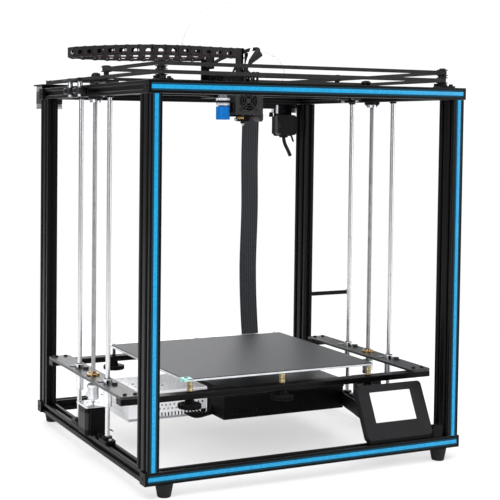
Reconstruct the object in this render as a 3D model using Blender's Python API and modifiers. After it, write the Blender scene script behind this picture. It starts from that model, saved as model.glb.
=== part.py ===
"""A fused-filament 3-D printer with an open cube frame, belt-driven head and twin-screw bed lift.

Every size is in metres. The design is drawn in frame coordinates: X from the left end of the
front bars, Y from their front face, Z from their underside. The empty called datum shifts it so
that the world origin is the centre of the front left foot, on the floor.
"""

import math

import bmesh
import bpy
from mathutils import Matrix, Vector

for old in list(bpy.data.objects):
    bpy.data.objects.remove(old, do_unlink=True)

# Frame
FRAME_W = 0.584
FRAME_D = 0.514
FRAME_H = 0.617
BAR = 0.020
CAP = 0.004
GAP = 0.0003
SLOT_MOUTH = 0.0047
SLOT_NECK = 0.0031
SLOT_NECK_DEPTH = 0.0018
SLOT_DEPTH = 0.0056
FOOT_H = 0.0207
FOOT_TOP_R = 0.014
FOOT_BOTTOM_R = 0.0105
FOOT_X = 0.033
FRONT_FOOT_Y = 0.010
REAR_FOOT_X = 0.022

# Bed lift
ROD_X = 0.010
SCREW_Y = 0.255
ROD_PITCH = 0.067
ROD_R = 0.004
COUPLER_R = 0.010
COUPLER_Z = (0.078, 0.104)
SCREW_TOP = 0.594
MOTOR = 0.0423
MOTOR_CHAMFER = 0.0045
Z_MOTOR_TOP = 0.068
LIFT_PLATE_X = (-0.008, 0.032)
LIFT_PLATE_Y = (0.086, 0.438)
LIFT_PLATE_Z = (0.1143, 0.119)
BEARING_R = 0.0075
BEARING_Z = (0.080, 0.127)
BED_BAR_Z = (0.104, 0.114)
BED_BAR_HALF = 0.010
STUD_Y = (0.098, 0.426)
STUD_X = (0.118, 0.292, 0.466)
STUD_R = 0.002
STUD_HOLE_R = 0.0024
KNOB_R = 0.020
KNOB_LOBES = 10
KNOB_Z = (0.088, 0.096)
BED_X = (0.110, 0.474)
BED_Y = (0.093, 0.431)
SHEET_BACK = 0.416
BED_Z = (0.1323, 0.1353)
SHEET_TOP = 0.1366

# Belt gantry
WHEEL_R = 0.0122
WHEEL_HALF = 0.0055
WHEEL_TIP_HALF = 0.0028
WHEEL_EDGE_R = 0.0095
WHEEL_BORE = 0.0030
WHEEL_STANDOFF = 0.01075
WHEEL_Y = (0.274, 0.322)
RAIL_Z = FRAME_H - BAR / 2
PLATE_Z = (0.6230, 0.6258)
BEAM_X = (0.046, 0.538)
BEAM_Y = 0.298
BEAM_Z = 0.613
IDLER_X = 0.028
IDLER_IN_X = 0.040
FRONT_IDLER_Y = 0.024
NEAR_IDLER_Y = 0.250
FAR_IDLER_Y = 0.330
IDLER_CORE_R = 0.0052
IDLER_FLANGE_R = 0.0085
BELT_R = 0.006
BELT_HALF_T = 0.0006
BELT_HALF_H = 0.003
UPPER_Z = 0.6433
LOWER_Z = 0.6302
XY_MOTOR_Y = 0.548
XY_MOTOR_LENGTH = 0.047

# Print head
HEAD_X = 0.292
HEAD_PLATE_Y = (0.262, 0.334)
HEAD_HALF = 0.030
NOZZLE_Y = 0.249
NOZZLE_TIP_Z = 0.5495
SHROUD_X = (0.264, 0.322)
SHROUD_Y = (0.228, 0.2605)
SHROUD_Z = (0.562, 0.616)
FAN_Z = 0.594
FAN_R = 0.0185
PROBE_X = 0.247
PROBE_Y = 0.240

# Flat boxes, screen and small fittings
BOX_X = (0.235, 0.483)
BOX_Y = (0.200, 0.420)
BOX_Z = (0.032, 0.086)
SUPPLY_X = (0.078, 0.231)
SUPPLY_Y = (0.258, 0.383)
SUPPLY_Z = (0.030, 0.080)
SCREEN_X = (0.402, 0.533)
SCREEN_FOOT = (0.0, 0.0285)
SCREEN_LENGTH = 0.0926
SCREEN_LEAN = math.radians(25.6)
SCREEN_T = 0.014
SPOOL_Z = 0.197
SPOOL_X = 0.690
TUBE_R = 0.002
CHAIN_HALF_T = 0.007
CHAIN_Z = (0.673, 0.690)

PARTS = bpy.data.collections.new("fdm_printer")
TOOLS = bpy.data.collections.new("cutters")
bpy.context.scene.collection.children.link(PARTS)
bpy.context.scene.collection.children.link(TOOLS)

DATUM = bpy.data.objects.new("datum", None)
DATUM.location = (-FOOT_X, -FRONT_FOOT_Y, FOOT_H + GAP)
PARTS.objects.link(DATUM)


# ---------------------------------------------------------------- materials
def material(name, colour, roughness, metallic=0.0):
    made = bpy.data.materials.new(name)
    made.use_nodes = True
    shader = made.node_tree.nodes["Principled BSDF"]
    shader.inputs["Base Color"].default_value = (*colour, 1.0)
    shader.inputs["Roughness"].default_value = roughness
    shader.inputs["Metallic"].default_value = metallic
    return made


ANODISED = material("black_anodised", (0.025, 0.025, 0.028), 0.42, 0.6)
BLACK_METAL = material("black_metal", (0.02, 0.02, 0.022), 0.5, 0.3)
BLACK_PLASTIC = material("black_plastic", (0.02, 0.02, 0.022), 0.55)
BLUE_PLASTIC = material("blue_plastic", (0.01, 0.36, 0.80), 0.35)
STEEL = material("steel", (0.62, 0.63, 0.65), 0.22, 1.0)
BRASS = material("brass", (0.72, 0.52, 0.20), 0.30, 1.0)
ALUMINIUM = material("aluminium", (0.75, 0.76, 0.78), 0.38, 1.0)
RUBBER = material("rubber", (0.015, 0.015, 0.015), 0.8)
BUILD_SURFACE = material("build_surface", (0.09, 0.09, 0.10), 0.7)
SILVER_PAINT = material("silver_paint", (0.70, 0.71, 0.73), 0.45, 0.2)
CLEAR_TUBE = material("tube", (0.88, 0.88, 0.86), 0.35)


# ---------------------------------------------------------------- shape helpers
def place(name, mesh, paint, matrix=None):
    """An object in frame coordinates, parented to the datum."""
    made = bpy.data.objects.new(name, mesh)
    PARTS.objects.link(made)
    made.parent = DATUM
    made.matrix_local = matrix or Matrix.Identity(4)
    mesh.materials.append(paint)
    return made


def mesh_from(name, bm):
    mesh = bpy.data.meshes.new(name)
    bm.to_mesh(mesh)
    bm.free()
    return mesh


def smooth(made, angle=35):
    made.data.shade_smooth()
    made.data.set_sharp_from_angle(angle=math.radians(angle))
    return made


def block(name, low, high, paint, bevel=0.0):
    """A box between two corners, with its edges optionally eased."""
    low, high = Vector(low), Vector(high)
    size = high - low
    bm = bmesh.new()
    bmesh.ops.create_cube(bm, size=1.0)
    bmesh.ops.scale(bm, vec=size, verts=bm.verts)
    made = place(name, mesh_from(name, bm), paint, Matrix.Translation((low + high) / 2))
    if bevel:
        edges = made.modifiers.new("eased_edges", "BEVEL")
        edges.width = bevel
        edges.segments = 1
    return made


def axis_matrix(centre, axis):
    """Local +Z turned to the named axis, at centre."""
    turns = {
        "Z": Matrix.Identity(4),
        "X": Matrix.Rotation(math.radians(90), 4, "Y"),
        "Y": Matrix.Rotation(math.radians(-90), 4, "X"),
    }
    return Matrix.Translation(centre) @ turns[axis]


def rod(name, start, length, radius, paint, axis="Z", segments=20):
    """A plain round bar from start, along an axis."""
    bm = bmesh.new()
    bmesh.ops.create_cone(
        bm, cap_ends=True, segments=segments, radius1=radius, radius2=radius, depth=length
    )
    bmesh.ops.translate(bm, vec=(0, 0, length / 2), verts=bm.verts)
    return smooth(place(name, mesh_from(name, bm), paint, axis_matrix(start, axis)))


def turned(name, profile, centre, paint, axis="Z", steps=24, closed=False):
    """A profile of (radius, height) points, top to bottom down the outer side, spun by Screw."""
    bm = bmesh.new()
    points = [bm.verts.new((r, 0.0, z)) for r, z in profile]
    for first, second in zip(points, points[1:]):
        bm.edges.new((first, second))
    if closed:
        bm.edges.new((points[-1], points[0]))
    made = place(name, mesh_from(name, bm), paint, axis_matrix(centre, axis))
    spin = made.modifiers.new("spin", "SCREW")
    spin.steps = steps
    spin.render_steps = steps
    spin.use_merge_vertices = True
    spin.merge_threshold = 0.00001
    spin.use_smooth_shade = False
    return made


def slab(name, outline, thickness, paint, matrix=None):
    """A flat closed outline given thickness, centred on its own plane."""
    curve = bpy.data.curves.new(name, "CURVE")
    curve.dimensions = "2D"
    curve.fill_mode = "BOTH"
    curve.extrude = thickness / 2
    line = curve.splines.new("POLY")
    line.points.add(len(outline) - 1)
    for point, (x, y) in zip(line.points, outline):
        point.co = (x, y, 0.0, 1.0)
    line.use_cyclic_u = True
    drawn = bpy.data.objects.new(name + "_outline", curve)
    bpy.context.scene.collection.objects.link(drawn)
    return place(name, curve_mesh(name, drawn), paint, matrix)


def curve_mesh(name, drawn):
    """The mesh of a curve object, with its loose caps welded; the curve is removed."""
    bpy.context.view_layer.update()
    shown = drawn.evaluated_get(bpy.context.evaluated_depsgraph_get())
    mesh = bpy.data.meshes.new_from_object(shown)
    mesh.name = name
    bpy.data.objects.remove(drawn, do_unlink=True)
    bm = bmesh.new()
    bm.from_mesh(mesh)
    bmesh.ops.remove_doubles(bm, verts=bm.verts, dist=0.00001)
    bmesh.ops.recalc_face_normals(bm, faces=bm.faces)
    bm.to_mesh(mesh)
    bm.free()
    return mesh


def boolean(target, tools, operation):
    """Joins the tools to target, or cuts them from it, in one exact Boolean."""
    group = bpy.data.collections.new(f"{target.name}_{operation.lower()}")
    TOOLS.children.link(group)
    for tool in tools:
        PARTS.objects.unlink(tool)
        group.objects.link(tool)
        tool.hide_render = True
        tool.display_type = "WIRE"
    step = target.modifiers.new(operation.lower(), "BOOLEAN")
    step.operation = operation
    step.operand_type = "COLLECTION"
    step.collection = group
    step.solver = "EXACT"
    return target


def join(target, *tools):
    return boolean(target, tools, "UNION")


def cut(target, *tools):
    return boolean(target, tools, "DIFFERENCE")


def mirrored(x):
    """The same place on the other side of the frame."""
    return FRAME_W - x


# ---------------------------------------------------------------- frame
def slot_side(centre, half_length):
    """One slotted side of an extrusion as (along, depth) points, with slots at each centre."""
    points = []
    for c in centre:
        points += [
            (c - SLOT_MOUTH, 0.0),
            (c - SLOT_NECK, SLOT_NECK_DEPTH),
            (c - SLOT_NECK, SLOT_DEPTH),
            (c + SLOT_NECK, SLOT_DEPTH),
            (c + SLOT_NECK, SLOT_NECK_DEPTH),
            (c + SLOT_MOUTH, 0.0),
        ]
    return [(-half_length, 0.0)] + points


def extrusion_outline(width, depth):
    """The slotted section of an extrusion, going round its four sides."""

    def slots(length):
        count = round(length / BAR)
        return [(i - (count - 1) / 2) * BAR for i in range(count)]

    outline = []
    for turn, (length, reach) in enumerate(
        ((width, depth), (depth, width), (width, depth), (depth, width))
    ):
        spin = Matrix.Rotation(math.radians(90 * turn), 2)
        for along, inward in slot_side(slots(length), length / 2):
            outline.append(tuple(spin @ Vector((along, inward - reach / 2))))
    return outline


def extrusion(name, low, high, axis):
    """A slotted bar filling the box between two corners, along an axis."""
    low, high = Vector(low), Vector(high)
    centre = (low + high) / 2
    size = high - low
    sections = {"X": (size.z, size.y), "Y": (size.x, size.z), "Z": (size.x, size.y)}
    width, depth = sections[axis]
    length = size["XYZ".index(axis)]
    return slab(
        name, extrusion_outline(width, depth), length, ANODISED, axis_matrix(centre, axis)
    )


def cross_bar(name, y, z):
    """A full-width bar with a moulded cap on each end."""
    bar = extrusion(name, (0, y, z), (FRAME_W, y + BAR, z + BAR), "X")
    bite = 0.001
    left = block("cap_left", (-CAP, y, z), (bite, y + BAR, z + BAR), BLACK_PLASTIC)
    right = block(
        "cap_right", (FRAME_W - bite, y, z), (FRAME_W + CAP, y + BAR, z + BAR), BLACK_PLASTIC
    )
    return join(bar, left, right)


def build_frame():
    top = FRAME_H - BAR
    back = FRAME_D - BAR
    cross_bar("front_bottom_bar", 0, 0)
    cross_bar("front_top_bar", 0, top)
    cross_bar("rear_bottom_bar", back, 0)
    cross_bar("rear_top_bar", back, top)
    for side, x in (("left", 0), ("right", FRAME_W - BAR)):
        extrusion(f"{side}_bottom_bar", (x, BAR + GAP, 0), (x + BAR, back - GAP, BAR), "Y")
        extrusion(f"{side}_rail", (x, BAR + GAP, top), (x + BAR, back - GAP, FRAME_H), "Y")
        for end, y in (("front", 0), ("rear", FRAME_D - 2 * BAR)):
            extrusion(
                f"{end}_{side}_post", (x, y, BAR + GAP), (x + BAR, y + 2 * BAR, top - GAP), "Z"
            )


def cover_outline():
    """The section of a slot cover: a thin lip, a tapered neck and two snap legs' height."""
    lip, neck, leg = 0.00435, 0.00265, 0.0026
    half = [(lip, -0.0004), (lip, 0.0), (neck, 0.0016), (leg, 0.0042)]
    return half + [(-x, y) for x, y in reversed(half)]


def build_slot_covers():
    inset = 0.002
    for name, z in (("top", FRAME_H - BAR / 2), ("bottom", BAR / 2)):
        along_x = Matrix.Translation((FRAME_W / 2, 0, z)) @ Matrix.Rotation(
            math.radians(90), 4, "Y"
        )
        slab(
            f"slot_cover_{name}", cover_outline(), FRAME_W - 2 * inset, BLUE_PLASTIC, along_x
        )
    for name, x in (("left", BAR / 2), ("right", mirrored(BAR / 2))):
        low, high = BAR + 2 * GAP, FRAME_H - BAR - 2 * GAP
        upright = Matrix.Translation((x, 0, (low + high) / 2))
        slab(f"slot_cover_{name}", cover_outline(), high - low, BLUE_PLASTIC, upright)


def build_feet():
    profile = [
        (0, -GAP),
        (FOOT_TOP_R, -GAP),
        (FOOT_TOP_R, -0.003),
        (FOOT_BOTTOM_R, -FOOT_H + 0.001),
        (FOOT_BOTTOM_R - 0.001, -FOOT_H - GAP),
        (0, -FOOT_H - GAP),
    ]
    places = {
        "foot_front_left": (FOOT_X, FRONT_FOOT_Y),
        "foot_front_right": (mirrored(FOOT_X), FRONT_FOOT_Y),
        "foot_rear_left": (REAR_FOOT_X, FRAME_D - FRONT_FOOT_Y),
        "foot_rear_right": (mirrored(REAR_FOOT_X), FRAME_D - FRONT_FOOT_Y),
    }
    for name, (x, y) in places.items():
        turned(name, profile, (x, y, 0), RUBBER)


# ---------------------------------------------------------------- motors
def motor_outline():
    """The square section of a stepper motor with its corners cut."""
    half, corner = MOTOR / 2, MOTOR / 2 - MOTOR_CHAMFER
    quarter = [(half, -corner), (half, corner)]
    return [
        tuple(Matrix.Rotation(math.radians(90 * turn), 2) @ Vector(point))
        for turn in range(4)
        for point in quarter
    ]


def motor(name, x, y, bottom, top, paint=BLACK_METAL):
    centre = Matrix.Translation((x, y, (bottom + top) / 2))
    return slab(name, motor_outline(), top - bottom, paint, centre)


def build_z_motors():
    boss_r, shaft_r = 0.011, 0.0025
    for side, x in (("left", ROD_X), ("right", mirrored(ROD_X))):
        body = motor(f"z_motor_{side}", x, SCREW_Y, BAR + GAP, Z_MOTOR_TOP)
        top = Z_MOTOR_TOP
        boss = rod("boss", (x, SCREW_Y, top - 0.002), 0.004, boss_r, ALUMINIUM)
        shaft = rod("shaft", (x, SCREW_Y, top - 0.002), 0.0112, shaft_r, STEEL)
        join(body, boss, shaft)


def idler(name, x, y, z):
    """A flanged belt roller, centred on its belt."""
    groove, lip = BELT_HALF_H + 0.0005, 0.0008
    profile = [
        (0, groove + lip),
        (IDLER_FLANGE_R, groove + lip),
        (IDLER_FLANGE_R, groove),
        (IDLER_CORE_R, groove),
        (IDLER_CORE_R, -groove),
        (IDLER_FLANGE_R, -groove),
        (IDLER_FLANGE_R, -groove - lip),
        (0, -groove - lip),
    ]
    return turned(name, profile, (x, y, z), BLACK_METAL, steps=20)


def build_xy_motors():
    """Belt motors hang behind the rear bar, each under a bent mounting plate."""
    for side, x, belt_z in (
        ("left", IDLER_X, LOWER_Z),
        ("right", mirrored(IDLER_X), UPPER_Z),
    ):
        low, high = PLATE_Z
        body = motor(f"xy_motor_{side}", x, XY_MOTOR_Y, high - XY_MOTOR_LENGTH, low + 0.0005)
        half = 0.026
        front, rear = FRAME_D + GAP, XY_MOTOR_Y + 0.022
        plate = block("plate", (x - half, front, low), (x + half, rear, high), BLACK_METAL)
        flange = block(
            "flange",
            (x - half, front, FRAME_H - BAR),
            (x + half, FRAME_D + 0.003, high - 0.0005),
            BLACK_METAL,
        )
        shaft = rod("shaft", (x, XY_MOTOR_Y, high - 0.001), belt_z + 0.006 - high, 0.0025, STEEL)
        join(body, plate, flange, shaft, idler("pulley", x, XY_MOTOR_Y, belt_z))


# ---------------------------------------------------------------- bed lift
def build_guides():
    for side, x in (("left", ROD_X), ("right", mirrored(ROD_X))):
        for end, y in (("front", SCREW_Y - ROD_PITCH), ("rear", SCREW_Y + ROD_PITCH)):
            length = FRAME_H - 2 * BAR - 2 * GAP
            rod(f"guide_rod_{side}_{end}", (x, y, BAR + GAP), length, ROD_R, STEEL)
        low, high = COUPLER_Z
        profile = [
            (0, SCREW_TOP),
            (ROD_R, SCREW_TOP),
            (ROD_R, high),
            (COUPLER_R, high),
            (COUPLER_R, low),
            (0, low),
        ]
        turned(f"lead_screw_{side}", profile, (x, SCREW_Y, 0), STEEL, steps=20)


def lift_plate(side, x):
    """A side plate of the bed, with two rod bearings and the screw's flanged nut."""
    span = (LIFT_PLATE_X[1] - LIFT_PLATE_X[0]) / 2
    middle = (LIFT_PLATE_X[0] + LIFT_PLATE_X[1]) / 2
    centre = middle if side == "left" else mirrored(middle)
    plate = block(
        f"lift_plate_{side}",
        (centre - span, LIFT_PLATE_Y[0], LIFT_PLATE_Z[0]),
        (centre + span, LIFT_PLATE_Y[1], LIFT_PLATE_Z[1]),
        ANODISED,
    )
    fittings, holes = [], []
    bearing_length = BEARING_Z[1] - BEARING_Z[0]
    collar_low, collar_r, collar_t = LIFT_PLATE_Z[1] - 0.001, 0.0105, 0.005
    past, hole_r = 0.005, ROD_R + 0.0003
    hole_low, hole_length = BEARING_Z[0] - past, bearing_length + 2 * past
    for y in (SCREW_Y - ROD_PITCH, SCREW_Y + ROD_PITCH):
        fittings.append(rod("bearing", (x, y, BEARING_Z[0]), bearing_length, BEARING_R, STEEL))
        fittings.append(rod("collar", (x, y, collar_low), collar_t, collar_r, STEEL))
        holes.append(rod("rod_hole", (x, y, hole_low), hole_length, hole_r, STEEL))
    nut_low, nut_length, nut_r = BED_BAR_Z[0] + 0.004, 0.020, 0.0052
    nut_flange_t, nut_flange_r = 0.0045, 0.011
    fittings.append(rod("nut", (x, SCREW_Y, nut_low), nut_length, nut_r, BRASS))
    fittings.append(rod("nut_flange", (x, SCREW_Y, collar_low), nut_flange_t, nut_flange_r, BRASS))
    holes.append(rod("screw_hole", (x, SCREW_Y, nut_low - past), nut_length + 6 * past, hole_r, BRASS))
    join(plate, *fittings)
    cut(plate, *holes)


def build_bed():
    lift_plate("left", ROD_X)
    lift_plate("right", mirrored(ROD_X))
    for end, y in zip(("front", "rear"), STUD_Y):
        bar = block(
            f"bed_bar_{end}",
            (LIFT_PLATE_X[0], y - BED_BAR_HALF, BED_BAR_Z[0]),
            (mirrored(LIFT_PLATE_X[0]), y + BED_BAR_HALF, BED_BAR_Z[1]),
            ANODISED,
            bevel=0.0008,
        )
        holes = [
            rod("stud_hole", (x, y, BED_BAR_Z[0] - 0.005), 0.02, STUD_HOLE_R, STEEL, segments=12)
            for x in STUD_X
        ]
        cut(bar, *holes)
        for name, x in zip(("left", "middle", "right"), STUD_X):
            levelling_knob(f"level_knob_{end}_{name}", x, y)
    plate = block(
        "heated_bed", (BED_X[0], BED_Y[0], BED_Z[0]), (BED_X[1], BED_Y[1], BED_Z[1]), ALUMINIUM
    )
    rim = 0.001
    sheet = block(
        "build_sheet",
        (BED_X[0] + rim, BED_Y[0] + rim, BED_Z[1] - 0.001),
        (BED_X[1] - rim, SHEET_BACK, SHEET_TOP),
        BUILD_SURFACE,
    )
    join(plate, sheet)


def levelling_knob(name, x, y):
    """A lobed hand nut with its hub and the stud that runs up to the bed."""
    count = 6 * KNOB_LOBES
    outline = []
    for i in range(count):
        angle = 2 * math.pi * i / count
        r = KNOB_R - 0.001 + 0.001 * math.cos(KNOB_LOBES * angle)
        outline.append((r * math.cos(angle), r * math.sin(angle)))
    low, high = KNOB_Z
    middle = Matrix.Translation((x, y, (low + high) / 2))
    disc = slab(name, outline, high - low, BLACK_PLASTIC, middle)
    hub = rod("hub", (x, y, high - 0.001), 0.0075, 0.0075, BLACK_PLASTIC, segments=16)
    stud_low = high - 0.001
    stud = rod("stud", (x, y, stud_low), BED_Z[0] - GAP - stud_low, STUD_R, STEEL, segments=10)
    return join(disc, hub, stud)


# ---------------------------------------------------------------- gantry
def wheel(name, x, y):
    """A grooved-rail wheel: full radius at its tip, tapering to both faces, bored for its axle."""
    profile = [
        (WHEEL_BORE, WHEEL_HALF),
        (WHEEL_EDGE_R, WHEEL_HALF),
        (WHEEL_R, WHEEL_TIP_HALF),
        (WHEEL_R, -WHEEL_TIP_HALF),
        (WHEEL_EDGE_R, -WHEEL_HALF),
        (WHEEL_BORE, -WHEEL_HALF),
    ]
    return turned(name, profile, (x, y, RAIL_Z), BLACK_PLASTIC, closed=True)


def axle(x, y):
    """A bolt, spacer and nut that hold one wheel under the carriage plate."""
    spacer_low = RAIL_Z + WHEEL_HALF + GAP
    nut_low = RAIL_Z - WHEEL_HALF - 0.0035
    bolt_length = PLATE_Z[1] - 0.0005 - nut_low
    spacer_length = PLATE_Z[0] + 0.001 - spacer_low
    bolt = rod("bolt", (x, y, nut_low), bolt_length, 0.0025, STEEL, segments=12)
    spacer = rod("spacer", (x, y, spacer_low), spacer_length, 0.004, STEEL, segments=12)
    nut = rod("nut", (x, y, nut_low - 0.001), 0.0042, 0.0045, STEEL, segments=6)
    return [bolt, spacer, nut]


def belt_roller(x, y, z):
    """A belt roller on its post, standing on the carriage plate."""
    post_low = PLATE_Z[1] - 0.001
    post = rod("post", (x, y, post_low), z + 0.0065 - post_low, 0.0025, STEEL, segments=12)
    head = rod("head", (x, y, z + 0.0038), 0.0035, 0.0042, STEEL, segments=12)
    return [post, head, idler("roller", x, y, z)]


def build_carriages():
    """A plate each side runs on its rail, and carries the beam and two belt rollers."""
    front, rear = 0.241, 0.345
    for side, flip, near_z, far_z in (
        ("left", False, UPPER_Z, LOWER_Z),
        ("right", True, LOWER_Z, UPPER_Z),
    ):

        def sx(x):
            return mirrored(x) if flip else x

        outline = [
            (-0.022, 0.262),
            (0.004, front),
            (0.046, front),
            (0.062, 0.276),
            (0.062, 0.320),
            (0.046, rear),
            (0.020, rear),
            (-0.022, 0.334),
        ]
        outline = [(sx(x), y) for x, y in outline]
        middle = Matrix.Translation((0, 0, sum(PLATE_Z) / 2))
        plate = slab(f"carriage_{side}", outline, PLATE_Z[1] - PLATE_Z[0], BLACK_METAL, middle)
        x = sx(-WHEEL_STANDOFF)
        fittings = axle(x, WHEEL_Y[0]) + axle(x, WHEEL_Y[1])
        fittings += belt_roller(sx(IDLER_X), NEAR_IDLER_Y, near_z)
        fittings += belt_roller(sx(IDLER_IN_X), FAR_IDLER_Y, far_z)
        join(plate, *fittings)
        wheel(f"wheel_{side}_front", x, WHEEL_Y[0])
        wheel(f"wheel_{side}_rear", x, WHEEL_Y[1])


def build_beam():
    """The beam hangs under both carriages, with a strap behind it that holds the chain's end."""
    half = BAR / 2
    beam = extrusion(
        "gantry_beam",
        (BEAM_X[0], BEAM_Y - half, BEAM_Z - half),
        (BEAM_X[1], BEAM_Y + half, BEAM_Z + half - GAP),
        "X",
    )
    low = BEAM_Z - half - 0.003
    strap = block("strap", (0.252, BEAM_Y - half, low), (0.268, 0.340, low + 0.0035), BLACK_METAL)
    post = block("post", (0.252, 0.336, low), (0.268, 0.340, CHAIN_Z[0] - GAP), BLACK_METAL)
    return join(beam, strap, post)


def smooth_path(waypoints, steps):
    """A Catmull-Rom curve through the waypoints, as a list of points."""
    points = [Vector(p) for p in waypoints]
    ends = [2 * points[0] - points[1]] + points + [2 * points[-1] - points[-2]]
    path = []
    for a, b, c, d in zip(ends, ends[1:], ends[2:], ends[3:]):
        for i in range(steps):
            t = i / steps
            curve = 2 * b + (c - a) * t
            curve += (2 * a - 5 * b + 4 * c - d) * t**2 + (3 * b - a - 3 * c + d) * t**3
            path.append(curve / 2)
    return path + [points[-1]]


def band_outline(path, half_width):
    """The closed outline of a band of constant width that follows a flat path."""
    left, right = [], []
    for i, point in enumerate(path):
        before, after = path[max(i - 1, 0)], path[min(i + 1, len(path) - 1)]
        along = (after - before).normalized()
        across = Vector((-along.y, along.x)) * half_width
        left.append(tuple(point + across))
        right.append(tuple(point - across))
    return left + right[::-1]


def build_chain():
    """The cable chain lies on its side, from the head round a wide bend and back to the strap."""
    waypoints = [
        (0.302, 0.2765),
        (0.250, 0.270),
        (0.190, 0.262),
        (0.132, 0.266),
        (0.092, 0.291),
        (0.060, 0.330),
        (0.036, 0.372),
        (0.024, 0.410),
        (0.036, 0.436),
        (0.064, 0.439),
        (0.118, 0.424),
        (0.180, 0.392),
        (0.262, 0.345),
    ]
    path = smooth_path(waypoints, 3)
    low, high = CHAIN_Z
    middle = Matrix.Translation((0, 0, (low + high) / 2))
    slab("cable_chain", band_outline(path, CHAIN_HALF_T), high - low, BLACK_PLASTIC, middle)


def corner_arc(x, y, start, turn, steps=6):
    """Points of a belt's bend round a roller at (x, y): from the start angle, by turn degrees."""
    return [
        Vector(
            (
                x + BELT_R * math.cos(math.radians(start + turn * i / steps)),
                y + BELT_R * math.sin(math.radians(start + turn * i / steps)),
            )
        )
        for i in range(steps + 1)
    ]


def belt_path():
    """The lower belt seen from above: right front roller, left front roller, left motor, head."""
    clamp = 0.012
    path = [Vector((HEAD_X + clamp, NEAR_IDLER_Y + BELT_R))]
    path += corner_arc(mirrored(IDLER_X), NEAR_IDLER_Y, 90, -90)
    path += corner_arc(mirrored(IDLER_X), FRONT_IDLER_Y, 0, -90)
    path += corner_arc(IDLER_X, FRONT_IDLER_Y, 270, -90)
    path += corner_arc(IDLER_X, XY_MOTOR_Y, 180, -180, steps=12)
    path += corner_arc(IDLER_IN_X, FAR_IDLER_Y, 180, 90)
    path.append(Vector((HEAD_X - clamp, FAR_IDLER_Y - BELT_R)))
    return path


def build_belts():
    """Two toothed belts at two heights, mirror images, joined by their clamps on the head."""
    lower = belt_path()
    upper = [Vector((mirrored(p.x), p.y)) for p in lower]
    made = slab(
        "drive_belts",
        band_outline(lower, BELT_HALF_T),
        2 * BELT_HALF_H,
        RUBBER,
        Matrix.Translation((0, 0, LOWER_Z)),
    )
    other = slab(
        "upper_belt",
        band_outline(upper, BELT_HALF_T),
        2 * BELT_HALF_H,
        RUBBER,
        Matrix.Translation((0, 0, UPPER_Z)),
    )
    reach, half, over = 0.018, 0.004, 0.004
    clamps = []
    for y in (NEAR_IDLER_Y + BELT_R, FAR_IDLER_Y - BELT_R):
        low = (HEAD_X - reach, y - half, LOWER_Z - over)
        high = (HEAD_X + reach, y + half, UPPER_Z + over)
        clamps.append(block("clamp", low, high, BLACK_METAL))
    join(made, other, *clamps)


# ---------------------------------------------------------------- print head
def build_head_carriage():
    """The head's plate, its drop bracket, chain mount and the height probe on its arm."""
    x0, x1 = HEAD_X - HEAD_HALF, HEAD_X + HEAD_HALF
    front, rear = HEAD_PLATE_Y
    low, high = PLATE_Z
    reach = 0.014
    plate = block("head_carriage", (x0, front, low), (x1, rear, high), BLACK_METAL)
    drop = block("drop", (x0, front, 0.566), (x1, front + 0.0025, high - 0.0005), BLACK_METAL)
    chain_mount = block(
        "chain_mount",
        (0.286, front + 0.0025, high - 0.001),
        (0.302, front + 0.0225, CHAIN_Z[0] - GAP),
        BLACK_PLASTIC,
    )
    arm = block("arm", (0.233, PROBE_Y - reach, 0.5905), (0.2635, front + 0.002, 0.5935), BLACK_METAL)
    rib = block("rib", (x0, PROBE_Y - reach, 0.570), (x0 + 0.0015, front + 0.001, 0.592), BLACK_METAL)
    cap = rod("cap", (PROBE_X, PROBE_Y, 0.560), 0.024, 0.0125, BLUE_PLASTIC)
    barrel = rod("barrel", (PROBE_X, PROBE_Y, 0.583), 0.022, 0.009, ALUMINIUM)
    join(plate, drop, chain_mount, arm, rib, cap, barrel)


def build_hot_end():
    """Finned heat sink, heater block and nozzle, as one turned stack with a square block."""
    fins = 5
    sink_low, pitch = 0.572, 0.006
    profile = [(0, 0.606), (0.006, 0.606)]
    for i in reversed(range(fins)):
        z = sink_low + i * pitch
        profile += [(0.006, z + 0.002), (0.0105, z + 0.002), (0.0105, z), (0.006, z)]
    profile += [(0.003, sink_low), (0.003, 0.556), (0, 0.556)]
    sink = turned("hot_end", profile, (HEAD_X, NOZZLE_Y, 0), ALUMINIUM, steps=20)
    heater = block(
        "heater",
        (HEAD_X - 0.010, NOZZLE_Y - 0.008, 0.5575),
        (HEAD_X + 0.010, NOZZLE_Y + 0.008, 0.5675),
        BRASS,
    )
    tip = turned(
        "tip",
        [(0, 0.559), (0.004, 0.559), (0.004, 0.554), (0.001, NOZZLE_TIP_Z), (0, NOZZLE_TIP_Z)],
        (HEAD_X, NOZZLE_Y, 0),
        BRASS,
        steps=16,
    )
    join(sink, heater, tip)


def build_shroud():
    """The head's cover: a box open at the back and below, with the fan's round window."""
    wall = 0.002
    cover = block(
        "fan_shroud",
        (SHROUD_X[0], SHROUD_Y[0], SHROUD_Z[0]),
        (SHROUD_X[1], SHROUD_Y[1], SHROUD_Z[1]),
        BLACK_PLASTIC,
        bevel=0.0012,
    )
    hollow = block(
        "hollow",
        (SHROUD_X[0] + wall, SHROUD_Y[0] + wall, SHROUD_Z[0] - 0.01),
        (SHROUD_X[1] - wall, SHROUD_Y[1] + 0.01, SHROUD_Z[1] - wall),
        BLACK_PLASTIC,
    )
    window = rod("window", (HEAD_X, SHROUD_Y[0] - 0.01, FAN_Z), 0.02, FAN_R, BLACK_PLASTIC, "Y")
    inlet = rod("inlet", (HEAD_X, NOZZLE_Y, FAN_Z), 0.05, 0.0055, BLACK_PLASTIC)
    cut(cover, hollow, window, inlet)


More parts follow.
